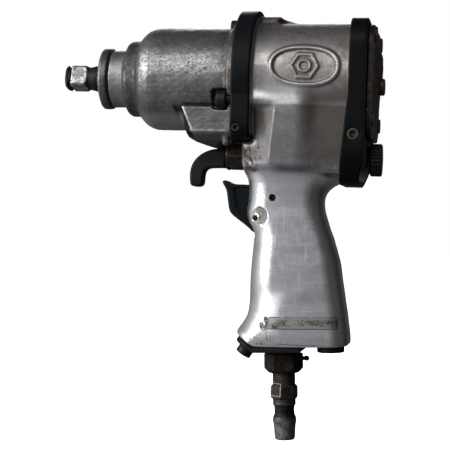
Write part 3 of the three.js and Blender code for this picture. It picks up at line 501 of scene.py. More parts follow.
def plain_metal(name, base, rough, grime=0.4, rust=0.0, grain=0.015, rust_col=(0.16, 0.06, 0.02), wear=0.6, metal=1.0, extra=None):
    m = Mat(name)
    mid = m.noise(0.5, 5, 0.6)
    col = m.mix(m.ramp(mid, [(0.3, 0), (0.7, 1)]), base, tuple(c * 0.6 for c in base))
    g = m.mul(m.ramp(m.noise(0.18, 5, 0.6), [(0.45, 0), (0.7, 1)]), grime)
    col = m.mix(g, col, (0.03, 0.026, 0.022))
    rs = m.mul(m.ramp(m.noise(0.4, 6, 0.7, 0.4), [(0.45, 0), (0.6, 1)]), rust)
    col = m.mix(rs, col, rust_col)
    cav = m.edges(0.5, 0.45)
    col = m.mix(m.mul(cav, 0.7), col, (0.02, 0.017, 0.014))
    ed = m.edges(0.52, 0.6)
    col = m.mix(m.mul(ed, wear), col, tuple(min(1, c * 1.6 + 0.12) for c in base))
    r = m.add(m.mul(mid, 0.15), rough)
    r = m.math("ADD", r, m.add(m.mul(rs, 0.3), m.mul(g, 0.2)), clamp=True)
    mt = m.math("SUBTRACT", metal, m.add(m.mul(rs, 0.6), m.mul(g, 0.3)), clamp=True)
    if extra:
        col, r, mt = extra(m, col, r, mt)
    m.bump(m.add(m.mul(m.noise(1.4, 4, 0.6), grain), m.mul(rs, grain * 2)), 0.001, 1.0)
    return m.done(col, r, mt)


def polymer(name, base, rough, dust=0.3, grain=0.03, dust_col=(0.2, 0.2, 0.19), wear=0.35, spec=0.5, extra=None):
    m = Mat(name)
    mid = m.noise(0.3, 5, 0.6)
    col = m.mix(m.ramp(mid, [(0.3, 0), (0.7, 1)]), base, tuple(c * 0.65 for c in base))
    d = m.mul(m.ramp(m.noise(0.09, 5, 0.65, 0.5), [(0.45, 0), (0.75, 1)]), dust)
    col = m.mix(d, col, dust_col)
    sc = scratches(m, 0.5, 3)
    col = m.mix(m.mul(sc, 0.25), col, dust_col)
    ed = m.edges(0.515, 0.58)
    col = m.mix(m.mul(ed, wear), col, tuple(min(1, c * 2.2 + 0.05) for c in base))
    r = m.add(m.mul(mid, 0.18), rough)
    r = m.math("ADD", r, m.mul(d, 0.2), clamp=True)
    if extra:
        col = extra(m, col)
    m.bump(m.add(m.mul(m.noise(1.6, 3, 0.6), grain), m.mul(m.noise(0.5, 3, 0.5), grain)), 0.001, 0.7)
    return m.done(col, r, 0.0, spec=spec)


def spindle_extra(m, col, r, metal):
    x, y, z = m.pos()
    up = m.mul(m.rng(z, -45.6, -44.4), m.rng(x, 112, 110))
    col = m.mix(m.mul(up, m.ramp(m.noise(0.3, 5, 0.7), [(0.3, 0.5), (0.6, 1)])), col, (0.11, 0.078, 0.052))
    dn = m.rng(z, -44.4, -45.6)
    col = m.mix(m.mul(dn, 0.7), col, (0.018, 0.015, 0.013))
    ed = m.mul(m.rng(m.math("ABSOLUTE", m.add(z, 45.1)), 0.7, 0.2), m.rng(y, -7, -8))
    return m.mix(m.mul(ed, 0.7), col, (0.075, 0.026, 0.016)), r, metal


def rubber_extra(m, col):
    x, y, z = m.pos()
    # the rear ring darker throughout, and painted shade over the lower part of the rings
    k = m.math("MAXIMUM", m.rng(x, 150, 165), m.rng(z, -20, -34))
    return m.mix(k, col, (0.38, 0.38, 0.38), "MULTIPLY")


def case_extra(m, col, r, metal):
    x, y, z = m.pos()
    sp = m.noise(0.32, 8, 0.8, 0.4, m.scaled((1.0, 1.0, 1.7)))
    # painted highlight: a lighter, speckled band along the upper side of the case, with brown stains in it
    zw = m.add(z, m.mul(m.noise(0.09, 4, 0.6), 9))
    highlight_band = m.mul(m.mul(m.rng(zw, 2.0, 7.5), m.rng(zw, 20.5, 13.5)), m.rng(x, 44, 53))
    col = m.mix(m.mul(highlight_band, m.ramp(sp, [(0.34, 1), (0.60, 0.1)])), col, (0.34, 0.34, 0.35))
    gr = m.noise(0.85, 5, 0.75, 0.2)
    col = m.mix(m.mul(m.ramp(gr, [(0.53, 0), (0.62, 1)]), m.add(m.mul(highlight_band, 0.6), 0.2)), col, (0.03, 0.028, 0.026))
    col = m.mix(m.mul(m.ramp(gr, [(0.38, 1), (0.45, 0)]), m.add(m.mul(highlight_band, 0.26), 0.08)), col, (0.75, 0.75, 0.75))
    bd = m.mul(highlight_band, m.ramp(m.noise(0.4, 5, 0.7), [(0.56, 0), (0.66, 1)]))
    col = m.mix(m.mul(bd, 0.75), col, (0.10, 0.085, 0.07))
    # brown painted shadow against the ring, dirt on the neck step, and painted shade along the bottom of the case ahead
    # of the chin
    br = m.mul(m.rng(x, 92, 104), m.ramp(m.noise(0.2, 5, 0.7), [(0.3, 0.25), (0.65, 1)]))
    br = m.mul(br, m.rng(z, -17, -13))
    nk = m.mul(m.mul(m.rng(x, 37.0, 39.0), m.rng(x, 51.5, 47.5)), m.ramp(m.noise(0.25, 5, 0.7), [(0.3, 0.35), (0.65, 1)]))
    ch = m.mul(m.rng(z, -30, -36), m.rng(x, 60, 76))
    for k, amt in ((br, 0.85), (nk, 0.94), (ch, 0.7)):
        col = m.mix(m.mul(k, amt), col, (0.055, 0.046, 0.037))
        r = m.add(r, m.mul(k, 0.12))
    # painted shade on the bevel at the front of the chin, and a painted shadow line above the chin's top edge, with a
    # dark specular tint
    fr = m.add(m.mul(m.add(x, -77.4), -0.918), m.mul(m.add(z, 18.2), -0.397))
    bev = m.mul(m.mul(m.rng(fr, -0.3, 0.5), m.rng(fr, 7.0, 4.6)), m.mul(m.rng(z, -16.0, -18.5), m.rng(z, -38, -34)))
    lin = m.mul(m.mul(m.rng(m.math("ABSOLUTE", m.add(z, 16.9)), 1.5, 0.5), m.rng(m.math("ABSOLUTE", y), 18, 20)), m.mul(m.rng(x, 75, 78), m.rng(x, 106, 102)))
    bev = m.math("MAXIMUM", bev, m.mul(lin, 0.85))
    m.tint = m.mix(bev, (1, 1, 1), (0.02, 0.02, 0.02))
    col = m.mix(m.mul(bev, 0.95), col, (0.007, 0.007, 0.007))
    r = m.add(r, m.mul(bev, 0.25))
    # worn arrises of the chin's flat
    wn = m.ramp(m.noise(0.35, 4, 0.65), [(0.3, 0.35), (0.6, 1)])
    a1 = m.mul(m.rng(m.math("ABSOLUTE", m.add(fr, 0.35)), 0.9, 0.3), m.mul(m.rng(z, -33, -31.5), m.rng(z, -17, -18.5)))
    a2 = m.mul(m.rng(m.math("ABSOLUTE", m.add(z, 31.7)), 0.9, 0.3), m.mul(m.rng(x, 81.5, 83), m.rng(x, 106, 103)))
    ar = m.mul(m.math("MAXIMUM", a1, a2), m.mul(wn, m.rng(m.math("ABSOLUTE", y), 24, 25.5)))
    col = m.mix(m.mul(ar, 0.8), col, (0.62, 0.62, 0.62))
    lip = m.mul(m.rng(x, 30, 28.5), m.rng(x, 24, 26))
    col = m.mix(m.mul(lip, 0.62), col, (0.075, 0.075, 0.075))
    neck = m.mul(m.rng(x, 29.5, 30.5), m.rng(x, 38.5, 37))
    col = m.mix(m.mul(neck, 0.5), col, (0.33, 0.33, 0.34))
    under = m.mul(m.rng(z, -20, -26), m.mul(m.rng(x, 46, 52), m.rng(x, 80, 74)))
    col = m.mix(m.mul(under, 0.7), col, (0.42, 0.42, 0.42))
    flat = m.mul(m.mul(m.rng(x, 79, 81), m.rng(x, 104, 100)), m.mul(m.rng(z, -17.5, -19), m.rng(z, -33, -31)))
    col = m.mix(m.mul(m.mul(flat, 0.45), m.ramp(sp, [(0.35, 0.3), (0.62, 1)])), col, (0.075, 0.073, 0.07))
    return col, r, metal, None


def drive_extra(m, col, r, metal):
    x, y, z = m.pos()
    nz = m.noise(0.5, 5, 0.75)
    # painted shade, with oily black, at the root of the square drive
    root = m.mul(m.rng(m.add(x, m.mul(nz, 1.6)), 13.2, 14.4), m.rng(x, 29, 26))
    tip = m.rng(m.add(x, m.mul(nz, 1.4)), 3.4, 2.4)
    spot = m.mul(m.ramp(m.noise(0.28, 5, 0.7, 0.6), [(0.48, 0), (0.58, 1)]), m.rng(x, 16, 13))
    for k, amt in ((root, 0.97), (tip, 0.95), (spot, 0.65)):
        col = m.mix(m.mul(k, amt), col, (0.012, 0.012, 0.012))
        r = m.add(r, m.mul(k, 0.15))
    return col, r, metal


def nipple_extra(m, col, r, metal):
    x, y, z = m.pos()
    up = m.rng(z, -187, -183)
    nz = m.ramp(m.noise(0.35, 5, 0.7), [(0.3, 0.55), (0.65, 1)])
    col = m.mix(m.mul(m.mul(up, nz), 0.97), col, (0.016, 0.009, 0.007))
    metal = m.math("SUBTRACT", metal, m.mul(up, 0.2), clamp=True)
    r = m.add(r, m.mul(up, 0.1))
    neck = m.mul(m.rng(z, -196.5, -194.5), m.rng(z, -187.5, -189.5))
    col = m.mix(m.mul(neck, 0.9), col, (0.012, 0.011, 0.011))
    # pale rubbed rectangle on one flat of the hexagon
    bx, bz = m.math("ABSOLUTE", m.add(x, -RECT[0])), m.math("ABSOLUTE", m.add(z, -RECT[1]))
    e = m.math("MAXIMUM", m.add(bx, -RECT[2]), m.add(bz, -RECT[3]))
    ln = m.mul(m.rng(m.math("ABSOLUTE", e), 0.32, 0.12), m.rng(y, 0, -3))
    ln = m.mul(ln, m.ramp(m.noise(0.9, 4, 0.7), [(0.32, 0.1), (0.5, 1)]))
    sc = m.mul(m.rng(e, 0.2, -0.1), m.mul(m.rng(y, 0, -3), m.ramp(m.noise(0.8, 4, 0.7, 0, m.scaled((3, 1, 1), rot=(0, 0.7, 0))), [(0.5, 0), (0.6, 1)])))
    col = m.mix(m.mul(m.math("MAXIMUM", ln, m.mul(sc, 0.12)), 0.7), col, (0.5, 0.45, 0.42))
    tip = m.mul(m.rng(z, -195, -199), m.ramp(m.noise(0.3, 5, 0.7), [(0.35, 0), (0.6, 1)]))
    col = m.mix(m.mul(tip, 0.6), col, (0.30, 0.30, 0.30))
    return col, r, metal


def strip_extra(m, col, r, metal):
    x, y, z = m.pos()
    zc = m.add(m.math("ABSOLUTE", m.add(m.math("SUBTRACT", z, m.mul(x, 0.045)), 145.88)), -3.3)
    xc = m.add(m.math("ABSOLUTE", m.add(x, -149.75)), -19.3)
    e = m.math("ABSOLUTE", m.math("MAXIMUM", zc, xc))
    ln = m.mul(m.rng(e, 0.3, 0.1), m.ramp(m.noise(0.35, 4, 0.7), [(0.35, 0.25), (0.5, 1)]))
    col = m.mix(m.mul(ln, 0.8), col, (0.055, 0.045, 0.035))
    # worn film: broken dark scuffs along its middle
    sc = m.ramp(m.noise(0.62, 5, 0.75, 1.6), [(0.47, 0), (0.52, 1)])
    sc = m.mul(sc, m.rng(m.math("ABSOLUTE", m.add(m.math("SUBTRACT", z, m.mul(x, 0.045)), 145.88)), 2.3, 1.3))
    sc = m.mul(sc, m.rng(m.noise(0.12, 2, 0.5), 0.38, 0.46))
    sc = m.mul(sc, m.rng(x, 133, 138))
    col = m.mix(m.mul(sc, 0.8), col, (0.03, 0.024, 0.02))
    rs = m.mul(m.spot((133.9, -19, -141.6), 0.8, 3.0, (0.8, 0.2, 1)), m.ramp(m.noise(0.3, 5, 0.7, 1.0), [(0.42, 0), (0.48, 1)]))
    col = m.mix(m.mul(rs, 0.9), col, (0.045, 0.026, 0.018))
    return col, m.add(r, 0.08), metal, None


def housing_extra(m, col, r, metal):
    x, y, z = m.pos()
    # dirt that lies in the badge
    d = m.spot((147.2, -31, 4.9), 8, 21, (1, 0.2, 1.75))
    d = m.mul(d, m.ramp(m.noise(0.35, 5, 0.7), [(0.3, 0.25), (0.7, 1)]))
    col = m.mix(m.mul(d, 0.62), col, (0.26, 0.21, 0.16))
    r = m.add(r, m.mul(d, 0.18))
    # painted highlight on a rougher, duller patch above the strip
    highlight_patch = m.mul(m.mul(m.rng(z, -120.0, -126.5), m.rng(z, -149, -132)), m.mul(m.rng(m.add(x, m.mul(z, -0.5)), 207, 194), m.rng(y, -8, -12)))
    highlight_patch = m.mul(highlight_patch, m.mul(m.rng(m.add(x, m.mul(z, 0.25)), 90, 96), m.ramp(m.noise(0.12, 5, 0.65), [(0.2, 0.6), (0.7, 1)])))
    col = m.mix(m.mul(highlight_patch, 0.75), col, (0.97, 0.97, 0.97))
    r = m.add(r, m.mul(highlight_patch, 0.13))
    # rusty chips by the valve block
    for p, s, rr in [((116.5, -25, -41), (1, 0.3, 0.8), 7.5), ((118.5, -25, -48), (1, 0.3, 0.8), 7.0), ((113, -18, -57), (1, 0.4, 0.8), 4.5), ((127.9, -18, -140.5), (0.95, 0.3, 0.8), 4.2), ((126.5, -18, -148.3), (0.6, 0.3, 1.2), 6.5)]:
        low = p[2] < -100
        a = m.spot(p, rr * 0.3, rr, s)
        t = 0.55 if p[2] < -145 else 0.41 if low else 0.465
        k = m.ramp(m.noise(0.42 if low else 0.19, 6, 0.7, 1.4, m.scaled((1, 1, 0.65), rot=(0, 0.5, 0))), [(t, 0), (t + 0.04, 1)])
        a2 = m.mul(m.rng(a, 0.02, 0.35), k)
        col = m.mix(m.mul(a, 0.3), col, (0.30, 0.26, 0.215))
        col = m.mix(m.mul(a2, 0.9), col, (0.045, 0.028, 0.018))
        r = m.add(r, m.mul(a2, 0.3))
        metal = m.math("SUBTRACT", metal, m.mul(a2, 0.0 if low else 0.7), clamp=True)
    # greasy stains along the rings and the top
    side = m.rng(y, 4, -4)
    rub0 = m.mul(m.mul(m.rng(z, -17.6, -16.0), m.rng(z, 8, -6)), side)
    for a, b in ((115, 121), (172, 156)):
        e = m.mul(m.rng(x, b, a), m.ramp(m.noise(0.16, 5, 0.7), [(0.35, 0.1), (0.65, 1)]))
        e = m.mul(e, m.rng(z, -60, -50))
        e = m.mul(e, m.math("SUBTRACT", 1.0, rub0)) if a < 120 else e
        col = m.mix(m.mul(e, 0.78 if a > 150 else 0.6), col, (0.12, 0.10, 0.08))
        r = m.add(r, m.mul(e, 0.12))
    top = m.mul(m.rng(z, 8, 30), m.ramp(m.noise(0.1, 5, 0.7), [(0.3, 0.3), (0.7, 1)]))
    col = m.mix(m.mul(top, 0.6), col, (0.26, 0.23, 0.20))
    r = m.add(r, m.mul(top, 0.12))
    mo = m.noise(0.42, 7, 0.75, 0.3)
    barl = m.mul(m.rng(z, -58, -46), m.rng(x, 176, 172))
    col = m.mix(m.mul(m.mul(m.ramp(mo, [(0.52, 0), (0.64, 1)]), barl), 0.30), col, (0.14, 0.12, 0.10))
    col = m.mix(m.mul(m.mul(m.ramp(mo, [(0.36, 1), (0.46, 0)]), barl), 0.22), col, (0.95, 0.95, 0.95))
    for p, st, rr, k in SPOTS:
        a = m.mul(m.spot(p, rr * 0.3, rr, st), m.ramp(m.noise(0.6, 5, 0.7), [(0.3, 0.4), (0.6, 1)]))
        col = m.mix(m.mul(a, k), col, (0.05, 0.04, 0.03))
        r = m.add(r, m.mul(a, 0.2))
    # the grip is rubbed bright, the barrel is duller
    grip = m.rng(z, -44, -58)
    r = m.add(r, m.mul(grip, -0.16))
    bar = m.math("SUBTRACT", 1.0, grip)
    # painted highlight: on the near side, where the barrel blends into the box, the darkening is held back
    zr = m.add(z, m.mul(m.rng(x, 130, 137), 5.5))
    lit_band = m.mul(m.mul(m.mul(m.mul(m.rng(zr, -19.5, -16.0), m.rng(z, -26, -15.5)), m.rng(z, -1, -9)), m.rng(x, 152, 138)), side)
    col = m.mix(m.math("SUBTRACT", bar, m.mul(lit_band, 0.45), clamp=True), col, (0.50, 0.475, 0.455), "MULTIPLY")
    # dark rear face of the flange, brown stain in front of the rear ring
    rfc = m.mul(m.rng(x, 178.4, 180.6), m.ramp(m.noise(0.25, 5, 0.7), [(0.3, 0.75), (0.7, 1)]))
    col = m.mix(rfc, col, (0.035, 0.030, 0.027))
    r = m.add(r, m.mul(rfc, 0.2))
    st = m.mul(m.mul(m.rng(m.add(x, m.mul(z, -0.06)), 167.0, 171.5), m.rng(x, 177, 175)), m.ramp(m.noise(0.3, 6, 0.75), [(0.38, 0.15), (0.6, 1)]))
    col = m.mix(m.mul(m.mul(st, m.rng(z, -50, -44)), 0.6), col, (0.23, 0.185, 0.145))
    # worn crease of the front panel, and dirt above it
    xc = m.add(x, m.add(m.mul(z, -0.12), -133.55))
    pz = m.mul(m.mul(m.rng(z, -17.5, -20.5), m.rng(z, -50, -44)), m.rng(y, 0, -6))
    cr = m.mul(m.mul(m.rng(m.math("ABSOLUTE", xc), 0.62, 0.18), pz), m.ramp(m.noise(0.22, 4, 0.65), [(0.35, 0.15), (0.6, 1)]))
    dp = m.mul(m.mul(m.rng(xc, 0.3, -1.2), m.mul(m.rng(z, -35, -22), m.rng(z, -15.6, -17.4))), m.rng(y, 0, -6))
    col = m.mix(m.mul(dp, 0.58), col, (0.14, 0.13, 0.115))
    col = m.mix(m.mul(cr, 0.62), col, (0.95, 0.95, 0.95))
    r = m.add(r, m.mul(cr, 0.12))
    # painted shade: the valve pin and the rim of its hole painted black and less metallic
    pin = m.spot((129.8, -17, -68.7), 2.0, 2.5, (1, 0.06, 1))
    col = m.mix(pin, col, (0.004, 0.004, 0.004))
    r = m.add(r, m.mul(pin, 0.4))
    metal = m.math("SUBTRACT", metal, m.mul(pin, 0.9), clamp=True)
    # parting line and nicks near the base
    ln = m.mul(m.rng(m.math("ABSOLUTE", m.add(z, 151.6)), 0.35, 0.12), m.mul(m.rng(x, 133, 136), m.rng(x, 159, 156)))
    ln = m.mul(ln, m.ramp(m.noise(0.5, 3, 0.6), [(0.35, 0.2), (0.55, 1)]))
    col = m.mix(m.mul(ln, 0.8), col, (0.03, 0.03, 0.03))
    # dried dirt in the spot face round the trigger pin
    sf = m.mul(m.spot((121.9, -14, -79.3), 4.4, 5.6, (1, 0.12, 1)), m.rng(m.spot((119.5, -14, -80.6), 2.6, 3.2, (1, 0.12, 1)), 1, 0))
    col = m.mix(m.mul(sf, m.ramp(m.noise(0.5, 5, 0.7), [(0.3, 0.6), (0.7, 1)])), col, (0.15, 0.135, 0.10))
    r = m.add(r, m.mul(sf, 0.4))
    metal = m.math("SUBTRACT", metal, m.mul(sf, 0.7), clamp=True)
    # painted shade on the back of the waist, and painted shade, slightly brown, over the rear half of the body
    wp = m.mul(m.spot((155.5, -12, -66), 4, 15, (1.3, 0.5, 0.8)), m.ramp(m.noise(0.2, 4, 0.6), [(0.25, 0.4), (0.7, 1)]))
    col = m.mix(m.mul(wp, 0.3), col, (0.12, 0.105, 0.09))
    nt = m.spot((130.3, -4, 33.9), 1.4, 3.2, (0.6, 0.5, 1))
    col = m.mix(m.mul(nt, 0.92), col, (0.02, 0.015, 0.011))
    r = m.add(r, m.mul(nt, 0.25))
    rear = m.mul(m.mul(m.rng(x, 143, 152), m.rng(z, -60, -50)), m.rng(z, -3, -14))
    col = m.mix(m.mul(rear, 0.84), col, (0.118, 0.106, 0.096))
    # painted shade in the fold under the box, above the grip
    fold = m.mul(m.rng(m.math("ABSOLUTE", m.add(m.add(z, 51.6), m.mul(m.noise(0.1, 2, 0.5), 1.0))), 4.4, 0.2), m.mul(m.rng(x, 126, 136), m.rng(x, 158, 144)))
    col = m.mix(m.mul(fold, 0.7), col, (0.055, 0.055, 0.055))
    # fine scuffs where the hand rubs
    hs = m.noise(0.5, 3, 0.6, 0.1, m.scaled((0.12, 1, 2.6), rot=(0, 0.25, 0)))
    hs2 = m.noise(0.5, 3, 0.6, 0.1, m.scaled((2.4, 1, 0.15), rot=(0, -0.12, 0)))
    hz = m.mul(m.ramp(m.math("MAXIMUM", hs, hs2), [(0.56, 0), (0.72, 1)]), m.mul(grip, m.ramp(m.noise(0.05, 3, 0.6), [(0.35, 0.2), (0.6, 1)])))
    col = m.mix(m.mul(hz, 0.35), col, (0.93, 0.94, 0.97))
    r = m.add(r, m.mul(hz, 0.08))
    gate = m.math("SUBTRACT", 1.0, m.mul(grip, 0.8), clamp=True)
    return col, r, metal, gate


SPOTS = [((143.0, -20.9, 24.8), (0.45, 0.6, 1.3), 2.0, 0.75), ((120.5, -19.2, 26.2), (1, 0.6, 1), 1.1, 0.6), ((136.0, -25.0, 20.3), (0.8, 0.6, 1), 1.2, 0.6), ((162.2, -23.2, 22.5), (1, 0.6, 1), 1.6, 0.45), ((132.8, -18.7, 26.6), (1, 0.5, 0.6), 1.8, 0.4), ((125.3, -28.3, -11.8), (0.8, 1, 1), 0.9, 0.6)]  # small dark marks on the barrel: place, stretch, radius, strength
RECT = (133.8, -179.4, 3.05, 3.57)  # centre and half size of the rubbed rectangle on the nipple's hexagon
MATS = {}
MATS["polished_aluminium"] = aluminium("polished_aluminium", (0.74, 0.75, 0.77), (0.60, 0.61, 0.64), 0.40, stain_amt=0.22, pits=0.4, grain=0.007, extra=housing_extra)
MATS["cast_case"] = aluminium("cast_case", (0.21, 0.212, 0.22), (0.15, 0.15, 0.155), 0.42, stain=(0.07, 0.055, 0.038), stain_amt=0.6, pits=0.9, grain=0.03, speck=0.3, wear=0.5, extra=case_extra)
MATS["cover_aluminium"] = aluminium("cover_aluminium", (0.045, 0.04, 0.037), (0.025, 0.022, 0.02), 0.45, stain=(0.05, 0.028, 0.018), stain_amt=0.8, pits=0.5, grain=0.02, wear=0.2)
MATS["paper_gasket"] = polymer("paper_gasket", (0.05, 0.042, 0.03), 0.8)
MATS["black_rubber"] = polymer("black_rubber", (0.003, 0.0042, 0.006), 0.40, dust=0.10, dust_col=(0.014, 0.018, 0.022), grain=0.008, wear=0.7, spec=0.09, extra=rubber_extra)
MATS["seal_orange"] = polymer("seal_orange", (0.05, 0.018, 0.010), 0.6, spec=0.2)
MATS["black_oxide_steel"] = plain_metal("black_oxide_steel", (0.028, 0.027, 0.027), 0.42, grime=0.6, rust=0.25, rust_col=(0.035, 0.018, 0.01), wear=0.12)
MATS["zinc_steel"] = plain_metal("zinc_steel", (0.075, 0.068, 0.06), 0.42, grime=0.6, rust=0.4, rust_col=(0.05, 0.022, 0.012), wear=0.35)
MATS["ground_steel"] = plain_metal("ground_steel", (0.50, 0.50, 0.50), 0.33, grime=0.5, extra=drive_extra)
MATS["end_plate_iron"] = plain_metal("end_plate_iron", (0.3, 0.3, 0.3), 0.45)
MATS["vane_composite"] = polymer("vane_composite", (0.3, 0.19, 0.11), 0.6)
MATS["brass"] = plain_metal("brass", (0.6, 0.42, 0.17), 0.35)
MATS["aged_valve_steel"] = plain_metal("aged_valve_steel", (0.078, 0.058, 0.044), 0.42, grime=0.5, rust=0.4, rust_col=(0.06, 0.03, 0.015), wear=0.2, extra=spindle_extra)
MATS["trigger_plastic"] = polymer("trigger_plastic", (0.0024, 0.0042, 0.0058), 0.35, dust=0.12, dust_col=(0.011, 0.016, 0.02), wear=0.5, spec=0.11)
MATS["black_plastic"] = polymer("black_plastic", (0.0055, 0.0055, 0.005), 0.5, dust=0.15, dust_col=(0.018, 0.016, 0.014), wear=0.4, spec=0.14)
MATS["inlet_steel"] = plain_metal("inlet_steel", (0.020, 0.017, 0.015), 0.42, grime=0.5, rust=0.3, rust_col=(0.028, 0.016, 0.01), wear=0.35)
MATS["nipple_steel"] = plain_metal("nipple_steel", (0.08, 0.078, 0.076), 0.36, grime=0.6, rust=0.35, rust_col=(0.05, 0.022, 0.014), wear=0.4, extra=nipple_extra)
MATS["strip_film"] = aluminium("strip_film", (0.31, 0.305, 0.30), (0.24, 0.235, 0.23), 0.40, stain_amt=0.3, pits=0.3, grain=0.006, extra=strip_extra, wear=0.4)

record_slots = {s["node"]: s["material_slot"] for s in frame["record"]["subparts"]}
for node, ob in frame["nodes"].items():
    ob.data.materials.clear()
    ob.data.materials.append(MATS[record_slots[node]])

# ---------------------------------------------------------------- geometry constants (mm)
MZ = 1.5  # height of the motor axis
LEAN = math.radians(3)
BASE = (138.3, -157.0)
BASE_TOP = 3.3
TOE = math.atan2(8.4, 13.4)
TN = (-math.sin(TOE), -math.cos(TOE))
TOE_AT = (112.6, -148.2)
TOE_SCREW = (116.8, -156.2)
TH_Z, RV_Z = -68.6, -45.0
BOLTS = [(0.0, 30.9)] + [(s * 30.9 * math.cos(math.radians(27)), -30.9 * math.sin(math.radians(27))) for s in (1, -1)]
COVER_BOLTS = [(21, 24), (-21, 24), (24.5, -23.5), (-24.5, -23.5)]
SCREW_F, SCREW_R = (112.1, -30.6), (177.6, -33.0)


def lean(x, z):
    dx, dz = x - BASE[0], z - BASE[1]
    return dx * math.cos(LEAN) + dz * math.sin(LEAN), -dx * math.sin(LEAN) + dz * math.cos(LEAN)


def front_outline(y, z, off=0.0):
    """Front flange: round above, flat sides and small corners below."""
    R = 35.5 + off
    circ = hyp(y, z - MZ) - R
    hy, zb = R - 2.4, -33.4 - off
    low = inter(np.abs(y) - hy, zb - z, 6.0 + off)
    low = np.maximum(low, z - 1.0)
    return np.minimum(circ, low)


def rear_outline(y, z, off=0.0):
    hy, z0, z1 = 33.3 + off, -57.7 - off, 30.5 + off
    top = inter(np.abs(y) - hy, z - z1, 14 + off)
    bot = inter(np.abs(y) - hy, z0 - z, 18 + off)
    return np.maximum(top, bot)


HANDLE_L = [(-30, 119.5), (-46, 113.0), (-53.7, 112.6), (-57.1, 114.4), (-60.6, 115.1), (-64.1, 115.2), (-67.7, 114.9), (-71.2, 114.6), (-74.7, 113.9), (-78.3, 113.8), (-81.8, 114.5),
            (-85.2, 116.1), (-87.5, 117.9), (-91.0, 119.1), (-95.7, 118.9), (-99.2, 118.6), (-106.3, 118.2), (-113.3, 117.9), (-120.4, 117.6), (-127.4, 117.6), (-134.4, 117.1), (-138.0, 116.1),
            (-141.6, 114.1), (-145.3, 111.4), (-148.4, 110.6), (-152.4, 110.9), (-162, 112.5)]
HANDLE_R = [(-162, 174.8), (-153.5, 176.1), (-150.6, 176.5), (-145.4, 176.2), (-138.6, 175.1), (-131.7, 174.0), (-124.8, 172.8), (-118.0, 171.5), (-111.1, 170.4), (-104.2, 169.2), (-97.3, 167.2),
            (-93.9, 165.9), (-90.5, 165.0), (-87.1, 163.5), (-83.6, 162.2), (-80.2, 161.0), (-76.8, 159.8), (-73.3, 159.1), (-69.8, 158.8), (-66.4, 159.2), (-62.8, 161.4), (-59.2, 166.4), (-57.0, 173.5),
            (-55, 178), (-30, 178)]
HANDLE = chaikin([(x, z) for z, x in HANDLE_L + HANDLE_R], 2)
HW = [(-30, 24), (-46, 21), (-53, 19.4), (-57, 18.4), (-60, 17.9), (-67, 17.1), (-74, 16.8), (-84, 16.9), (-92, 17.1), (-106, 17.8), (-118, 18.2), (-128, 18.5), (-140, 19.0), (-147, 19.3), (-155, 19.2), (-162, 18.6)]
BOXP = [(119.0, 8), (119.0, -37.0), (113.0, -37.4), (112.9, -49.5), (114.5, -52.5), (150, -52.5), (162, -54.5), (176, -56), (176, 8)]


def rear_front(z):
    """Front edge of the rear ring: it runs forward below the barrel."""
    return 173.7 - 4.4 * clip01((-10 - z) / 50)


def rear_back(z):
    """Rear edge of the flange and ring: rounded off at the bottom."""
    return 183.8 - 3.4 * smooth(-45, -61, z)


def grid2(x, z, pts):
    return poly2(x[:, 0, :].astype(float), z[0, :, :].astype(float), pts)[:, None, :].astype(F32)


def grip(x, y, z):
    """The handle alone."""
    ay = np.abs(y)
    out = grid2(x, z, HANDLE)
    zz = z[0, 0, :].astype(float)
    hz = np.array([p[0] for p in HW][::-1])
    hw = np.array([p[1] for p in HW][::-1])
    w = np.interp(zz, hz, hw).astype(F32)[None, None, :]
    crown = np.where(x < 143, 0.0027, 0.0012) * (x - 143) ** 2
    q = 0.016 * np.maximum(140.5 - x, 0) ** 2
    crown = crown + 2.7 * (1 - np.exp(-q / 2.7)) * smooth(-112.0, -131.0, z) * smooth(-153, -136, z)
    rf = np.interp(zz, [-162, -147, -130, -90, -60, -50], [11.5, 12.5, 15.2, 15.2, 13, 9]).astype(F32)[None, None, :]
    rb = np.interp(zz, [-162, -147, -130, -90, -60, -50], [10, 10, 10, 10, 11, 9]).astype(F32)[None, None, :]
    r = rf + (rb - rf) * smooth(138, 150, x)
    return inter(out, ay - w + crown, r)


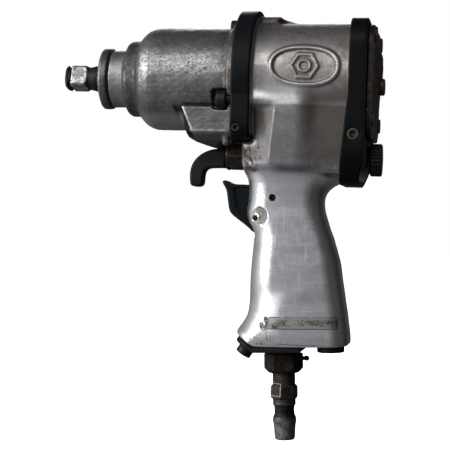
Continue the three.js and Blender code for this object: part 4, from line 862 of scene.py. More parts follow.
def housing(x, y, z):
    ay = np.abs(y)
    zz = z[0, 0, :].astype(float)
    h = grip(x, y, z)
    # lower box, with the creased panel at the front and the tuck under the barrel at the rear
    bz = np.interp(zz, [-60, -50, -44, -38, -30, -22, -16.8, -6, 8], [21.2, 23.4, 25.0, 26.6, 28.6, 30.4, 31.6, 30.8, 30.0]).astype(F32)[None, None, :]
    e1 = x - (148.6 + (z + 15.9) * 0.118)
    e2 = -14.5 + (x - 149.9) * 0.304 - z
    tuck = 0.7 * smooth(-2.5, 7.0, np.minimum(e1, e2)) * smooth(-56, -46, z) + 2.4 * smooth(144, 158, x) * smooth(-56, -12, z)
    panel = 0.24 * np.maximum(132.9 + (z + 18.5) * 0.12 - x, 0) * smooth(-14.5, -18.5, z) * smooth(-54, -48, z)
    bx = grid2(x, z, BOXP)
    b = inter(bx, ay - (bz - tuck - panel), 3.5)
    h = uni(h, b, 3.4)
    # barrel and flanges
    rr = hyp(y, z - MZ)
    barrel = inter(rr - 31.3, slab(x, 116, 175), 0.5)
    h = uni(h, barrel, 3.0)
    fl = inter(front_outline(y, z), slab(x, 115.6, 119.5), 0.3)
    h = uni(h, fl, 1.4)
    rf = inter(rear_outline(y, z), np.maximum(rear_front(z) + 0.4 - x, x - rear_back(z) + 0.6), 0.8)
    h = uni(h, rf, 1.0)
    # bosses behind the case bolts
    for by, bzz in BOLTS:
        q = hyp(y - by, z - bzz)
        if by == 0:
            p = rev(x, q, [(117.6, 0), (117.6, 6.2), (118.8, 6.3), (130.0, 6.3), (131.8, 5.2), (143, 1.2), (144, 0)], 0.3)
            h = uni(h, p, 1.6)
        else:
            p = rev(x, q, [(118.0, 0), (118.0, 3.9), (119, 4.1), (122, 4.0), (134, 1.2), (135, 0)], 0.3)
            h = uni(h, p, 3.5)
    h = sub(h, np.sqrt(((x - 134.2) * 0.7) ** 2 + (y + 3.6) ** 2 * 0.5 + (z - 36.2) ** 2) - 2.6, 0.8)
    # badge: raised oval rim with a shallow field and a plain hexagon nut
    ex0, ez0 = x - 148.7, z - 4.9
    tb = math.radians(1.5)
    ex, ez = ex0 * math.cos(tb) + ez0 * -math.sin(tb), ex0 * math.sin(tb) + ez0 * math.cos(tb)
    a, b2, pw = 18.9, 10.8, 2.3
    fx, fz = np.maximum(np.abs(ex), 1e-3) / a, np.maximum(np.abs(ez), 1e-3) / b2
    q = (fx ** pw + fz ** pw) ** (1 / pw)
    ed = (q - 1) / np.maximum(q ** (1 - pw) * np.sqrt((fx ** (pw - 1) / a) ** 2 + (fz ** (pw - 1) / b2) ** 2), 1e-3)
    near = y < 0
    surf = rr - 31.3
    rim = np.where(near, hyp(ed, surf + 0.1) - 1.4, 5)
    field = np.where(near, np.maximum(ed + 0.4, -(surf + 0.55)), 5)
    h = sub(h, field, 0.5)
    h = uni(h, rim, 0.7)
    hx = hexd(ex, ez, 14.6, math.pi / 6)
    ring = np.abs(hx + 0.85) - 0.85
    hole = np.abs(hyp(ex, ez) - 3.3) - 0.65
    nut = np.where(near, np.maximum(np.minimum(ring, hole), np.abs(surf + 0.1) - 0.5), 5)
    h = uni(h, nut, 0.7)
    # base and toe
    lx, lz = lean(x, z)
    h = inter(h, BASE_TOP - lz, 0.9)
    h = inter(h, (x - TOE_AT[0]) * TN[0] + (z - TOE_AT[1]) * TN[1], 0.9)
    # spot faces and holes of the cross pins
    for px, pz, rad in ((121.0, -80.6, 1.55), (131.2, TH_Z, 1.5)):
        h = sub(h, hyp(x - px, z - pz) - rad, 0.15)
    face = np.maximum(hyp(x - 123.2, z + 79.5) - 5.3, 14.0 - ay)
    face = np.maximum(face, 3.1 - hyp(x - 121, z + 80.6))
    h = sub(h, face, 0.5)
    # trigger slot, bores and screw holes
    h = sub(h, np.maximum(np.maximum(slab(x, 100, 127.4), slab(z, -91.5, -57.6)), ay - 6.1), 0.5)
    h = sub(h, np.maximum(rr - 25.8, slab(x, 100, 200)))
    h = sub(h, np.maximum(hyp(y, z - RV_Z) - 6.75, slab(x, 100, 152)), 0.4)
    h = sub(h, np.maximum(hyp(y, z - RV_Z) - 5.25, slab(x, 150, 200)), 0.4)
    h = sub(h, np.maximum(hyp(y, z - TH_Z) - 6.0, slab(x, 100, 151)))
    h = sub(h, np.maximum(hyp(lx, y) - 8.25, lz - 24))
    h = sub(h, np.maximum(hyp(lx - 27.6, y) - 7.3, lz - 14))
    for by, bzz in BOLTS:
        h = sub(h, np.maximum(hyp(y - by, z - bzz) - 2.65, x - 130.5))
    for by, bzz in COVER_BOLTS:
        h = sub(h, np.maximum(hyp(y - by, z - bzz) - 2.65, 175 - x))
    h = sub(h, np.maximum(hyp(x - SCREW_R[0], z - SCREW_R[1]) - 2.3, 20 - ay))
    sx, sz = x - TOE_SCREW[0], z - TOE_SCREW[1]
    perp = hyp(sx * TN[1] - sz * TN[0], y)
    h = sub(h, np.maximum(perp - 2.15, -(sx * TN[0] + sz * TN[1]) - 14))
    return h + wobble(x, y, z, 0.05, 17, 4)


CASE_PROFILE = [(24.8, 0), (24.8, 16.7), (25.1, 17.6), (25.9, 18.2), (29.3, 18.2), (30.1, 17.8), (30.4, 16.2), (31.2, 16.2), (31.4, 17.1), (36, 16.9), (39.6, 17.0), (40.2, 17.8), (40.8, 20.0), (41.6, 21.4), (43.0, 22.2),
                (48.4, 22.5), (49.2, 23.4), (50.5, 25.3), (52.6, 27.4), (55.2, 29.0), (58.0, 29.8), (61.0, 30.0), (103.0, 29.9), (104.0, 30.6), (105.2, 32.0), (109.5, 32.2), (109.5, 0)]
CHIN = [(74.4, -18.2), (81.9, -35.2), (86.5, -38.0), (90.5, -39.0), (94.6, -40.0), (98.6, -40.1), (99.8, -38.4), (106.0, -36.6), (108, -34.5), (108, -18.2)]


def case(x, y, z):
    ay = np.abs(y)
    r = hyp(y, z)
    c = rev(x, r, CASE_PROFILE, 0.15)
    ch = grid2(x, z, CHIN)
    zz = z[0, 0, :].astype(float)
    w = np.interp(zz, [-42, -40, -37, -33.5, -31.5, -18], [12, 18.5, 23.0, 26.0, 26.9, 27.3]).astype(F32)[None, None, :]
    front = (x - 78.9) * -0.918 + (z + 18.2) * -0.397
    chin = inter(ch, ay - w + 0.95 * np.maximum(front, 0), 0.9)
    c = uni(c, chin, 1.0)
    fl = inter(front_outline(y, z), slab(x, 108.4, 115.1), 0.4)
    c = uni(c, fl, 0.6)
    # a short rib under the flange
    for s in (-1, 1):
        rib = np.sqrt(np.maximum(np.abs(x - 104.6) - 0.5, 0) ** 2 + np.maximum(np.abs(z + 36.0) - 2.6, 0) ** 2 + (y - s * 24.0) ** 2) - 1.6
        rib2 = np.sqrt(np.maximum(np.abs(x - 107.5) - 3.2, 0) ** 2 + (z + 37.6) ** 2 + (y - s * 23.0) ** 2) - 1.5
        c = uni(uni(c, np.maximum(rib, x - 107.9), 0.8), np.maximum(rib2, x - 107.9), 0.8)
    for by, bz in BOLTS:
        q = hyp(y - by, z - bz)
        c = sub(c, rev(x, q, [(96.0, 0), (96.0, 4.6), (97.4, 5.9), (105.2, 5.9), (105.2, 0)], 0.2), 0.8)
        c = sub(c, np.maximum(q - 2.75, slab(x, 100, 120)))
    cav = rev(x, r, [(49, 0), (49, 21), (52, 24.6), (130, 24.6), (130, 0)], 0.3)
    c = sub(c, cav)
    c = sub(c, np.maximum(r - 11.7, slab(x, 31.2, 50)))
    c = sub(c, np.maximum(r - 8.6, slab(x, 20, 40)))
    c = sub(c, np.maximum(r - 11.0, slab(x, 20, 30.2)), 0.3)
    c = sub(c, np.maximum(hyp(x - SCREW_F[0], z - SCREW_F[1]) - 1.5, 25 - ay))
    c = sub(c, np.maximum(hyp(y, z - RV_Z) - 8.75, 100.4 - x), 0.2)
    return c + wobble(x, y, z, 0.06, 9, 7) + wobble(x, y, z, 0.035, 3.2, 8)


H = 0.55
piece("housing_shell", "shell", ["motor_housing"], (110, -38, -160), (184, 38, 39), H, housing, MATS["polished_aluminium"])
piece("case_shell", "shell", ["hammer_case"], (24.3, -37, -41), (116, 37, 39), 0.5, case, MATS["cast_case"])


# bumper rings
def ring_f(x, y, z):
    o = front_outline(y, z, 3.1)
    d = inter(o, slab(x, 108.4, 119.3), 1.2)
    d = sub(d, front_outline(y, z, 0.3), 0.4)
    d = sub(d, hyp(y, z - RV_Z) - 8.8, 0.3)
    d = sub(d, np.maximum(hyp(x - SCREW_F[0], z - SCREW_F[1]) - 2.9, 30 - np.abs(y)), 0.5)
    return d + wobble(x, y, z, 0.05, 11, 2)


def ring_r(x, y, z):
    o = rear_outline(y, z, 2.8)
    d = chamf(o, x - rear_back(z), 1.1)
    d = inter(d, x - rear_back(z), 0.8)
    d = inter(d, rear_front(z) - x, 0.8)
    d = sub(d, rear_outline(y, z, 0.3), 0.4)
    d = sub(d, np.maximum(hyp(x - SCREW_R[0], z - SCREW_R[1]) - 3.9, 20 - np.abs(y)), 0.5)
    return d + wobble(x, y, z, 0.05, 11, 3)


piece("front_ring", "shell", ["front_bumper_ring"], (108, -39.5, -38), (119.9, 39.5, 41), 0.42, ring_f, MATS["black_rubber"])
piece("rear_ring", "shell", ["rear_bumper_ring"], (168.6, -37, -61.5), (184.4, 37, 34.5), 0.42, ring_r, MATS["black_rubber"])


# screws
def head(ax, rad, a, b, af, z0, z1, R, Rs, tip, depth, rnd=0.5):
    """Socket head from z0 to z1 along ax (z1 outer), shank to tip."""
    s = 1 if z1 > z0 else -1
    u = ax * s
    u0, u1, ut = z0 * s, z1 * s, tip * s
    d = inter(rad - R, slab(u, u0, u1), rnd)
    d = uni(d, np.maximum(rad - Rs, slab(u, ut, u0 + 0.2)), 0.2)
    d = sub(d, np.maximum(hexd(a, b, af), (u1 - depth) - u), 0.15)
    return sub(d, np.maximum(rad - af * 0.56, (u1 - 0.35) - u), 0.25)


for i, (by, bz) in enumerate(BOLTS):
    def f(x, y, z, by=by, bz=bz):
        top = by == 0
        return head(x, hyp(y - by, z - bz), y - by, z - bz, 4.0 if top else 4.6, 104.9, 101.0 if top else 99.2, 4.3 if top else 4.8, 2.4, 129.5, 3.0, 0.7)
    piece("case_screw_%d" % (i + 1), "shell", ["case_bolt_%d" % (i + 1)], (99, by - 5.2, bz - 5.2), (130, by + 5.2, bz + 5.2), 0.3, f, MATS["black_oxide_steel"])
for i, (by, bz) in enumerate(COVER_BOLTS):
    def f(x, y, z, by=by, bz=bz):
        return head(x, hyp(y - by, z - bz), y - by, z - bz, 3.8, 185.7, 188.1, 4.3, 2.4, 175.6, 1.7, 0.7)
    piece("cover_screw_%d" % (i + 1), "shell", ["cover_bolt_%d" % (i + 1)], (175.2, by - 4.8, bz - 4.8), (188.5, by + 4.8, bz + 4.8), 0.3, f, MATS["zinc_steel"])
for i, s in ((1, -1), (2, 1)):
    def f(x, y, z, s=s):
        return head(y * s, hyp(x - SCREW_F[0], z - SCREW_F[1]), x - SCREW_F[0], z - SCREW_F[1], 2.2, 33.4, 36.2, 2.4, 1.25, 26.5, 1.6, 0.4)
    lo, hi = sorted((s * 26, s * 36.8))
    piece("front_ring_screw_%d" % i, "shell", ["ring_screw_%d" % i], (109.2, lo, -33.5), (115, hi, -27.7), 0.22, f, MATS["black_oxide_steel"])
for i, s in ((3, -1), (4, 1)):
    def f(x, y, z, s=s):
        return head(y * s, hyp(x - SCREW_R[0], z - SCREW_R[1]), x - SCREW_R[0], z - SCREW_R[1], 3.4, 33.7, 36.2, 3.5, 2.0, 21, 1.9, 0.6)
    lo, hi = sorted((s * 20.5, s * 36.8))
    piece("rear_ring_screw_%d" % (i - 2), "shell", ["ring_screw_%d" % i], (173.6, lo, -37), (181.6, hi, -29), 0.25, f, MATS["zinc_steel"])


# rear cover
def cover(x, y, z):
    o = np.maximum(inter(np.abs(y) - 31.6, z - 29.4, 12), inter(np.abs(y) - 31.6, -34 - z, 12))
    d = inter(o, slab(x, 183.6, 186.8), 0.7)
    d = uni(d, rev(x, hyp(y, z - 7.6), [(185, 0), (185, 18), (187.2, 15), (188.8, 10.6), (189.8, 7.6), (190.0, 7), (190, 0)], 0.2), 1.2)
    d = uni(d, rev(x, hyp(y, z + 8), [(185, 0), (185, 20), (187.6, 16), (188.8, 6), (188.8, 0)], 0.2), 1.2)
    d = uni(d, rev(x, hyp(y, z + 28.2), [(185, 0), (185, 5.6), (187.4, 4.4), (187.4, 0)], 0.2), 0.8)
    d = uni(d, np.maximum(hyp(y, z - MZ) - 25.4, slab(x, 177.2, 185)), 0.2)
    d = sub(d, np.maximum(hyp(y, z) - 22, slab(x, 170, 181.6)))
    d = sub(d, np.maximum(hyp(y, z) - 12, slab(x, 170, 185)))
    for by, bz in COVER_BOLTS:
        q = hyp(y - by, z - bz)
        d = sub(d, q - 2.75)
        d = sub(d, np.maximum(q - 4.8, 185.4 - x), 0.4)
    q = hyp(y, z + 3)
    d = sub(d, np.maximum(q - 5.3, 188.1 - x), 0.4)
    d = sub(d, np.maximum(q - 1.9, 184 - x))
    return d + wobble(x, y, z, 0.07, 7, 5)


piece("end_cover", "shell", ["rear_cover"], (177, -32.2, -34.5), (190.6, 32.2, 30), 0.42, cover, MATS["cover_aluminium"])
piece("oil_screw", "shell", ["oil_plug"], (184.6, -5.3, -8.3), (192.1, 5.3, 2.3), 0.25, lambda x, y, z: head(x, hyp(y, z + 3), y, z + 3, 3.0, 188.3, 191.8, 4.9, 1.6, 184.8, 1.8, 1.1), MATS["zinc_steel"])


# drive
def anvil(x, y, z):
    t = math.radians(-14)
    a, b = y * math.cos(t) + z * math.sin(t), -y * math.sin(t) + z * math.cos(t)
    sq = inter(np.abs(a) - 6.35, np.abs(b) - 6.35, 0.0)
    sq = np.maximum(sq, (np.abs(a) + np.abs(b) - (12.7 - 1.04)) * 0.7071)
    r = hyp(y, z)
    sq = np.maximum(sq, slab(x, 1.5, 17))
    sq = np.maximum(sq, (r - 6.9 - (x - 1.5) * 0.8) * 0.78)
    # the flats run out into the round neck
    sq = np.maximum(sq, -(np.sqrt(np.maximum(r, 0) ** 2) - (8.2 - np.maximum(x - 13.6, 0) * 0.8)) * -0.78)
    sh = rev(x, r, [(14.2, 0), (14.2, 6.2), (16.0, 6.7), (18.6, 7.3), (19.6, 7.6), (30.8, 7.6), (31.4, 7.95), (50.6, 7.95), (50.6, 12.2), (54, 12.2), (54, 8.6), (94.4, 8.6), (94.4, 0)], 0.12)
    d = uni(sq, sh, 0.8)
    d = sub(d, np.maximum(slab(x, 3.4, 5.2), 5.3 - r), 0.15)
    ang = np.arctan2(z, y)
    for mid, x0, x1 in ((math.pi / 2, 60, 75.6), (-math.pi / 2, 78, 93.6)):
        da = np.abs((ang - mid + math.pi) % (2 * math.pi) - math.pi)
        d = uni(d, np.maximum(np.maximum(r - 11.6, slab(x, x0, x1)), (da - 0.5) * r * 0.9), 0.8)
    return d


piece("drive_shaft", "output", ["anvil"], (1.2, -12.6, -12.6), (94.8, 12.6, 12.6), 0.3, anvil, MATS["ground_steel"])


def snap(x, y, z):
    r = hyp(y, z)
    d = hyp(r - 6.25, x - 4.3) - 0.68
    t = math.radians(31)
    gap = np.maximum(np.abs(-y * math.sin(t) + z * math.cos(t)) - 1.2, -(y * math.cos(t) + z * math.sin(t)))
    return sub(d, gap, 0.2)


piece("snap_ring", "output", ["retaining_ring"], (3.4, -7.2, -7.2), (5.2, 7.2, 7.2), 0.16, snap, MATS["black_oxide_steel"])


def coil():
    """The throttle spring: round wire on a helix."""
    steps, k, wire, rad = 150, 12, 0.42, 3.6
    t = np.linspace(0, 1, steps + 1)
    a = t * 3.5 * 2 * math.pi
    c = np.stack([142.6 + 7.8 * t, rad * np.cos(a), TH_Z + rad * np.sin(a)], 1)
    tan = np.gradient(c, axis=0)
    tan /= np.linalg.norm(tan, axis=1)[:, None]
    out = np.stack([0 * a, np.cos(a), np.sin(a)], 1)
    bi = np.cross(tan, out)
    ph = (np.arange(k) + 0.5) * 2 * math.pi / k
    v = c[:, None] + wire * (np.cos(ph)[None, :, None] * out[:, None] + np.sin(ph)[None, :, None] * bi[:, None])
    i, j = np.meshgrid(np.arange(steps), np.arange(k), indexing="ij")
    j2 = (j + 1) % k
    q = np.stack([i * k + j, i * k + j2, (i + 1) * k + j2, (i + 1) * k + j], -1).reshape(-1, 4)
    cap = np.array([(n, n + 1, k - 2 - n, k - 1 - n) for n in range(k // 2 - 1)])
    v = v.reshape(-1, 3)
    q = np.concatenate([q, cap[:, ::-1], cap + steps * k])
    m0 = v[q]
    vol = np.einsum("ij,ij->", m0[:, 0], np.cross(m0[:, 1], m0[:, 2])) + np.einsum("ij,ij->", m0[:, 0], np.cross(m0[:, 2], m0[:, 3]))
    if vol < 0:
        q = q[:, ::-1]
    ob = mesh_object("return_spring", v, q, MATS["black_oxide_steel"], 50)
    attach(ob, "shell")
    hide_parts("throttle_spring")
    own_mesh(ob)


coil()
piece("shaft_seal", "shell", ["nose_seal"], (27, -11, -11), (30.2, 11, 11), 0.25, lambda x, y, z: np.maximum(np.maximum(hyp(y, z) - 10.7, slab(x, 27.2, 29.9)), 7.95 + 0.5 * np.maximum(x - 28, 0) - hyp(y, z)), MATS["black_rubber"])
piece("nose_ring", "shell", ["nose_o_ring"], (30.2, -16.8, -16.8), (31.6, 16.8, 16.8), 0.2, lambda x, y, z: hyp(hyp(y, z) - 16.1, x - 30.8) - 0.42, MATS["black_rubber"])


# trigger
TRIG = chaikin([(99.2, -59.6), (100.4, -61.9), (102.1, -64.6), (103, -70.4), (103.9, -75.9), (105.4, -78.6), (109.9, -81.9), (114.8, -85.3), (119.1, -89.2), (121.5, -89), (124.2, -86), (124.9, -81.5),
                (124, -76), (121.9, -71), (121.2, -68.6), (120.6, -66), (119.4, -61.6), (115.1, -61.1), (106.2, -61.1), (102.9, -59.4), (101, -58.8)], 1)
TRIG_IN = chaikin([(106.0, -63.2), (107.6, -68), (108.4, -74.5), (111, -78.6), (117.2, -83.4), (128, -86), (128, -62.8), (112, -62.6)], 2)


def trig(x, y, z):
    o = grid2(x, z, TRIG)
    d = inter(o, np.abs(y) - 5.7, 1.6)
    i = grid2(x, z, TRIG_IN)
    d = sub(d, np.maximum(i, 4.7 - np.abs(y)), 0.7)
    d = sub(d, hyp(x - 121, z + 80.6) - 1.65, 0.2)
    return d


piece("trigger_lever", "trigger_body", ["trigger"], (98.6, -6.2, -90), (125.6, 6.2, -58), 0.26, trig, MATS["trigger_plastic"])
piece("trigger_cross_pin", "shell", ["trigger_pin"], (119.4, -14.2, -82.2), (122.6, 14.2, -79), 0.25, lambda x, y, z: inter(hyp(x - 121, z + 80.6) - 1.25, np.abs(y) - 13.2, 0.4), MATS["black_oxide_steel"])
piece("bush_cross_pin", "shell", ["valve_pin"], (129.8, -16, -70), (132.6, 16, -67), 0.25, lambda x, y, z: inter(hyp(x - 131.2, z - TH_Z) - 1.1, np.abs(y) - 15.2, 0.4), MATS["black_oxide_steel"])

# reverse lever and its shaft
LEV = chaikin([(101.2, -38.6), (98.4, -39.2), (96.0, -40.4), (92.2, -40.8), (87.0, -43.0), (82.8, -46.6), (80.5, -50.4), (79.6, -54.5), (79.7, -58.5), (80.1, -61.9), (81.6, -63.0), (84.0, -63.2), (86.3, -62.7), (87.4, -61.4), (87.6, -58.5), (87.8, -55.4), (88.9, -53.0), (91.2, -51.9), (95, -51.8),
               (98.2, -51.6), (101.2, -52.0)], 2)


def lever(x, y, z):
    o = grid2(x, z, LEV)
    tall = np.where(z > RV_Z, hyp(y, (z - RV_Z) * 0.72) - 4.7, np.abs(y) - 4.6 - 0.03 * np.maximum(RV_Z - z, 0).clip(0, 13))
    d = inter(o, tall, 1.5)
    return uni(d, np.maximum(hyp(y, z - RV_Z) - 2.2, slab(x, 96, 105.6)), 0.3)


piece("reverse_hook", "reverser", ["reverse_lever"], (79, -5.8, -64), (106, 5.8, -38), 0.26, lever, MATS["black_plastic"])


def spool(x, y, z):
    r = hyp(y, z - RV_Z)
    d = rev(x, r, [(101.3, 0), (101.3, 7.4), (101.8, 7.8), (103.0, 7.8), (103.4, 7.2), (105.9, 7.2), (106.3, 6.7), (107.9, 6.7), (108.4, 7.2), (112.0, 7.2), (112.5, 6.8), (112.5, 5.2), (123, 5.2), (124, 3.6), (130, 3.6), (131, 5.2), (137, 5.2), (138, 3.6), (144, 3.6), (145, 5.2), (149, 5.2), (149, 0)], 0.1)
    hx = np.maximum(hexd(y, z - RV_Z, 14.9, math.pi / 6), slab(x, 103.4, 111.9))
    hx = np.maximum(hx, r - 8.3)
    d = uni(d, hx, 0.15)
    return sub(d, np.maximum(r - 2.5, x - 106))


piece("valve_spindle", "reverser", ["reverse_valve"], (101, -8.8, -53.8), (149.4, 8.8, -36.2), 0.28, spool, MATS["aged_valve_steel"])
piece("spindle_seal", "reverser", ["lever_seal"], (111.6, -8.3, -53.3), (113.2, 8.3, -36.7), 0.2, lambda x, y, z: hyp(hyp(y, z - RV_Z) - 7.55, x - 112.4) - 0.5, MATS["seal_orange"])


# regulator knob
def knob(x, y, z):
    a, b = y, z - RV_Z
    r = hyp(a, b)
    ang = np.arctan2(b, a)
    R = 9.4 - 0.42 * (0.5 + 0.5 * np.cos(ang * 24)) ** 2
    d = inter(r - R, slab(x, 185, 191.6), 0.9)
    d = uni(d, np.maximum(r - 8, slab(x, 183.7, 185.5)), 0.3)
    d = uni(d, np.maximum(r - 4.9, slab(x, 155, 184)))
    d = sub(d, np.maximum(np.maximum(np.abs(b) - 0.75, np.abs(a) - 7), 190.3 - x), 0.2)
    return sub(d, np.maximum(hyp(x - 160, y) - 2, np.abs(b) - 9))


piece("regulator", "regulator", ["regulator_knob"], (154.6, -9.8, -54.8), (192, 9.8, -35.2), 0.3, knob, MATS["black_oxide_steel"])


# base parts
def end_plate(x, y, z):
    lx, lz = lean(x, z)
    t = (x - TOE_AT[0]) * TN[0] + (z - TOE_AT[1]) * TN[1]  # below the toe face
    b = BASE_TOP - lz  # below the base
    gap = np.maximum(-(t - 0.3), -(b - 0.3))
    lower = np.maximum(t - 2.9, b - 3.2)
    along = (x - TOE_AT[0]) * math.cos(TOE) - (z - TOE_AT[1]) * math.sin(TOE)
    d = np.maximum(lower, -np.maximum(t - 0.3, b - 0.3))
    w = inter(np.abs(y) - 17.6, 0.8 - along, 9)
    d = inter(d, np.maximum(w, lx - 11.9), 0.7)
    d = sub(d, hyp(lx, y) - 9.2)
    sx, sz = x - TOE_SCREW[0], z - TOE_SCREW[1]
    return sub(d, hyp(sx * TN[1] - sz * TN[0], y) - 2.15)


piece("exhaust_plate", "shell", ["end_plate"], (109, -18.2, -163), (151.5, 18.2, -146), 0.36, end_plate, MATS["black_plastic"])


def toe_screw(x, y, z):
    sx, sz = x - TOE_SCREW[0], z - TOE_SCREW[1]
    u = sx * TN[0] + sz * TN[1]
    a = sx * TN[1] - sz * TN[0]
    return head(u, hyp(a, y), a, y, 4.6, 0.6, 4.8, 4.7, 1.85, -12, 2.4, 0.5)


piece("plate_screw", "shell", ["end_plate_screw"], (109.4, -5, -163.6), (126, 5, -144), 0.28, toe_screw, MATS["black_oxide_steel"])


def tilted(fn):
    def g(x, y, z):
        lx, lz = lean(x, z)
        return fn(lx, y, lz)
    return g


piece("side_pin", "shell", ["lock_pin"], (146, -1.9, -164.4), (155, 1.9, -157.6), 0.2, tilted(lambda x, y, z: uni(inter(hyp(y, z + 4.4) - 1.2, slab(x, 8.5, 13.6), 0.4), np.sqrt((x - 13.6) ** 2 + y ** 2 + (z + 4.4) ** 2) - 1.55, 0.4)), MATS["black_oxide_steel"])


def plug(x, y, z):
    r = hyp(x - 27.6, y)
    d = inter(r - 7.9, slab(z, -1.0, 2.9), 0.9)
    d = uni(d, np.maximum(r - 7.0, slab(z, 2.6, 11)))
    d = sub(d, np.maximum(r - 5.4, 4.4 - z))
    for c in (-4, 0, 4):
        d = sub(d, np.maximum(np.abs(y - c) - 0.8, np.abs(x - 27.6) - 4), 0.2)
    d = sub(d, np.maximum(r - 5.9, z + 0.4), 0.3)
    return d


piece("exhaust_plug", "shell", ["base_plug"], (157, -8.2, -158.5), (175, 8.2, -142), 0.3, tilted(plug), MATS["black_oxide_steel"])


def inlet(x, y, z):
    r = hyp(x, y)
    hx = hexd(x, y, 19.9, 0.14 + math.pi / 6)
    d = np.maximum(hx, slab(z, -12.8, -1.3))
    d = inter(d, rev(z, r, [(-12.8, 0), (-12.8, 8.2), (-12.2, 9.2), (-9.8, 11.6), (-2.0, 11.6), (-1.3, 10.8), (-1.3, 0)], 0.1), 0.3)
    d = uni(d, np.maximum(r - 7.9, slab(z, -1.6, 20)))
    d = sub(d, np.maximum(r - 4.6, slab(z, -10, 30)))
    d = sub(d, np.maximum(r - 6.9, slab(z, -20, -5)), 0.3)
    return sub(d, np.maximum(hyp(y, z + 4.4) - 1.35, 8.2 - x))


piece("inlet_hex", "shell", ["inlet_bushing"], (126, -12.2, -171.5), (152, 12.2, -136), 0.32, tilted(inlet), MATS["inlet_steel"])


def nipple(x, y, z):
    r = hyp(x, y)
    th = 0.35 * np.abs(((z * 0.78) % 1.0) - 0.5) * 2
    d = inter(r - 6.75 + np.where((z > -19.6) & (z < -5), th, 0), slab(z, -20.2, -5.4), 0.2)
    hx = np.maximum(hexd(x, y, 14.6, 0.45 + math.pi / 6), slab(z, -27.7, -19.8))
    hx = inter(hx, rev(z, r, [(-27.7, 0), (-27.7, 7.2), (-26.5, 8.35), (-21.0, 8.35), (-19.8, 7.2), (-19.8, 0)], 0.1), 0.25)
    d = uni(d, hx, 0.2)
    prof = chaikin([(-27.4, 6.7), (-31.2, 6.7), (-31.6, 6.3), (-32.2, 5.8), (-37.0, 5.8), (-38.0, 6.6), (-40.2, 6.95), (-43.5, 6.3), (-50.6, 5.95), (-51.5, 5.3)], 1, closed=False)
    d = uni(d, rev(z, r, [(-27.4, 0)] + [tuple(p) for p in prof] + [(-51.5, 0)], 0.1), 0.2)
    d = sub(d, np.abs(np.maximum(np.abs(z + 29.6), np.abs(r - 6.9))) - 0.35, 0.2)
    return sub(d, r - 3.6, 0.3)


piece("hose_nipple", "shell", ["air_nipple"], (129.5, -8.9, -209.2), (150.5, 8.9, -161.5), 0.3, tilted(nipple), MATS["nipple_steel"])


# blank strip on the handle
def strip(x, y, z):
    lab = inter(slab(x, 131.5, 171), slab(z, -143.7 + (x - 131) * 0.045, -136.4 + (x - 131) * 0.045), 0.8)
    h = grip(x, y, z)
    return np.maximum(np.maximum(inter(h - 0.32, lab, 0.2), -0.7 - h), y)


piece("side_strip", "shell", ["name_strip"], (131, -21, -144.8), (173, -3, -133.6), 0.24, strip, MATS["strip_film"])

# ---------------------------------------------------------------- stage, light, camera
FLOOR_Z = -0.262


def stage_mesh():
    """A wide pale floor."""
    me = bpy.data.meshes.new("floor")
    n, rings = 96, (0.0, 0.4, 1.0, 3.0, 9.0)
    verts, faces = [(0.1, 0.0, FLOOR_Z)], []
    for k, rr in enumerate(rings[1:]):
        for i in range(n):
            a = 2 * math.pi * i / n
            verts.append((0.1 + rr * math.cos(a), rr * math.sin(a), FLOOR_Z))
            b, c = 1 + k * n + i, 1 + k * n + (i + 1) % n
            if k == 0:
                faces.append((0, b, c))
            else:
                faces.append((b - n, b, c, c - n))
    me.from_pydata(verts, [], faces)
    ob = bpy.data.objects.new("floor", me)
    bpy.context.scene.collection.objects.link(ob)
    m = bpy.data.materials.new("pale_floor")
    m.use_nodes = True
    t = m.node_tree
    b = t.nodes["Principled BSDF"]
    nz = t.nodes.new("ShaderNodeTexNoise")
    nz.inputs["Scale"].default_value = 3
    rp = t.nodes.new("ShaderNodeValToRGB")
    rp.color_ramp.elements[0].color = (0.92, 0.92, 0.92, 1)
    rp.color_ramp.elements[1].color = (0.95, 0.95, 0.95, 1)
    t.links.new(nz.outputs["Fac"], rp.inputs[0])
    t.links.new(rp.outputs[0], b.inputs["Base Color"])
    b.inputs["Roughness"].default_value = 0.95
    b.inputs["Specular IOR Level"].default_value = 0.1
    b.inputs["Emission Color"].default_value = (1, 1, 1, 1)
    b.inputs["Emission Strength"].default_value = 1.0
    me.materials.append(m)
    ob.visible_glossy = False
    ob.visible_diffuse = False
    ob.visible_shadow = False
    ob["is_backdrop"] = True
    return ob


stage_mesh()


def area(name, loc, target, size, energy, color=(1, 1, 1), sy=None):
    d = bpy.data.lights.new(name, "AREA")
    d.shape = "RECTANGLE"
    d.size, d.size_y = size, sy or size
    d.energy, d.color = energy, color
    o = bpy.data.objects.new(name, d)
    bpy.context.scene.collection.objects.link(o)
    o.location = loc
    o.rotation_mode = "QUATERNION"
    o.rotation_quaternion = (Vector(target) - Vector(loc)).to_track_quat("-Z", "Y")
    return o


mid = (0.10, 0.0, -0.07)
area("key", (-0.95, -0.75, 0.30), mid, 0.55, 17, (1.0, 0.99, 0.97), 0.9)
area("high", (0.05, -1.15, 0.78), mid, 0.8, 6.8, (1.0, 0.99, 0.98), 0.3)
area("back", (-0.20, 1.25, 0.55), mid, 0.6, 7, (1.0, 0.99, 0.98), 0.5)
# a flagged light for the rear end only, so that the cover reads from behind
rear_light = area("rear", (1.25, 0.06, 0.14), mid, 0.7, 2.6, (1.0, 0.99, 0.98), 0.7)
rear_set = bpy.data.collections.new("rear_light_set")
for ob in bpy.data.objects:
    if ob.name in ("end_cover", "oil_screw", "rear_ring", "regulator", "cover_screw_1", "cover_screw_2", "cover_screw_3", "cover_screw_4"):
        rear_set.objects.link(ob)
rear_light.light_linking.receiver_collection = rear_set

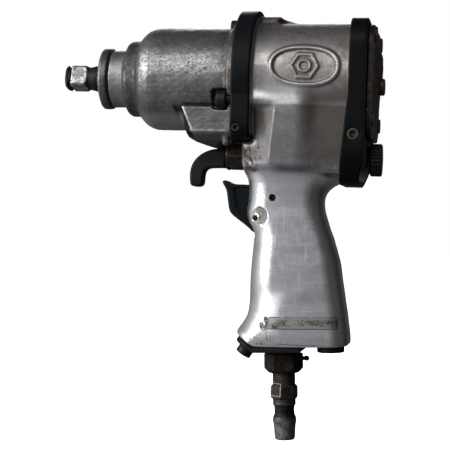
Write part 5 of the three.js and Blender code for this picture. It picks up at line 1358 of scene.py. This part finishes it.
w = bpy.data.worlds.new("studio")
bpy.context.scene.world = w
w.use_nodes = True
t = w.node_tree
t.nodes.clear()
out = t.nodes.new("ShaderNodeOutputWorld")
bg = t.nodes.new("ShaderNodeBackground")
cam_bg = t.nodes.new("ShaderNodeBackground")
mx = t.nodes.new("ShaderNodeMixShader")
lp = t.nodes.new("ShaderNodeLightPath")
tc = t.nodes.new("ShaderNodeTexCoord")
sp = t.nodes.new("ShaderNodeSeparateXYZ")
t.links.new(tc.outputs["Generated"], sp.inputs[0])


def world_ramp(sock, stops):
    mr = t.nodes.new("ShaderNodeMapRange")
    mr.inputs[1].default_value, mr.inputs[2].default_value = -1, 1
    t.links.new(sock, mr.inputs[0])
    rp = t.nodes.new("ShaderNodeValToRGB")
    rp.color_ramp.interpolation = "B_SPLINE"
    e = rp.color_ramp.elements
    while len(e) < len(stops):
        e.new(0.5)
    for i, (p, c) in enumerate(stops):
        e[i].position = (p + 1) / 2
        e[i].color = (*c, 1) if isinstance(c, tuple) else (c, c, c, 1)
    t.links.new(mr.outputs[0], rp.inputs[0])
    return rp.outputs[0]


side = world_ramp(sp.outputs["X"], [(-1, (1, 1, 1)), (-0.8, (0.95, 0.95, 0.96)), (-0.5, (0.42, 0.43, 0.45)), (-0.1, (0.25, 0.26, 0.28)), (0.3, (0.19, 0.19, 0.19)), (0.6, (0.10, 0.098, 0.095)), (0.85, (0.06, 0.058, 0.055)), (1, (0.10, 0.10, 0.10))])
high = world_ramp(sp.outputs["Z"], [(-1, 0.95), (-0.6, 0.85), (-0.3, 0.75), (0.0, 1.0), (0.4, 1.0), (0.75, 0.8), (1.0, 0.7)])
back = world_ramp(sp.outputs["Y"], [(-1, 1.0), (-0.25, 1.0), (0.0, 0.8), (0.3, 0.42), (1.0, 0.35)])
mb = t.nodes.new("ShaderNodeMix")
mb.data_type = "RGBA"
mb.blend_type = "MULTIPLY"
mb.inputs[0].default_value = 1.0
t.links.new(high, mb.inputs[6])
t.links.new(back, mb.inputs[7])
mm = t.nodes.new("ShaderNodeMix")
mm.data_type = "RGBA"
mm.blend_type = "MULTIPLY"
mm.inputs[0].default_value = 1.0
t.links.new(side, mm.inputs[6])
t.links.new(mb.outputs[2], mm.inputs[7])
t.links.new(mm.outputs[2], bg.inputs[0])
bg.inputs[1].default_value = 1.0
cam_bg.inputs[0].default_value = (1, 1, 1, 1)
t.links.new(lp.outputs["Is Camera Ray"], mx.inputs[0])
t.links.new(bg.outputs[0], mx.inputs[1])
t.links.new(cam_bg.outputs[0], mx.inputs[2])
t.links.new(mx.outputs[0], out.inputs[0])

cd = bpy.data.cameras.new("camera")
cam = bpy.data.objects.new("camera", cd)
bpy.context.scene.collection.objects.link(cam)
A, ROLL = math.radians(11.1), math.radians(2.0)
fwd = Vector((-math.sin(A), math.cos(A), 0))
rgt = Vector((math.cos(A), math.sin(A), 0))
up = Vector((0, 0, 1))
r2 = rgt * math.cos(ROLL) + up * math.sin(ROLL)
u2 = up * math.cos(ROLL) - rgt * math.sin(ROLL)
T = Vector((0.09954, 0, -0.08516))
rot = Matrix((r2, u2, -fwd)).transposed().to_4x4()
cam.matrix_world = Matrix.Translation(T - fwd * 0.706) @ rot
cd.sensor_width = 36
cd.lens = 96
cd.clip_start = 0.01
bpy.context.scene.camera = cam
bpy.context.scene.view_settings.view_transform = "Standard"

lo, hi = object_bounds()
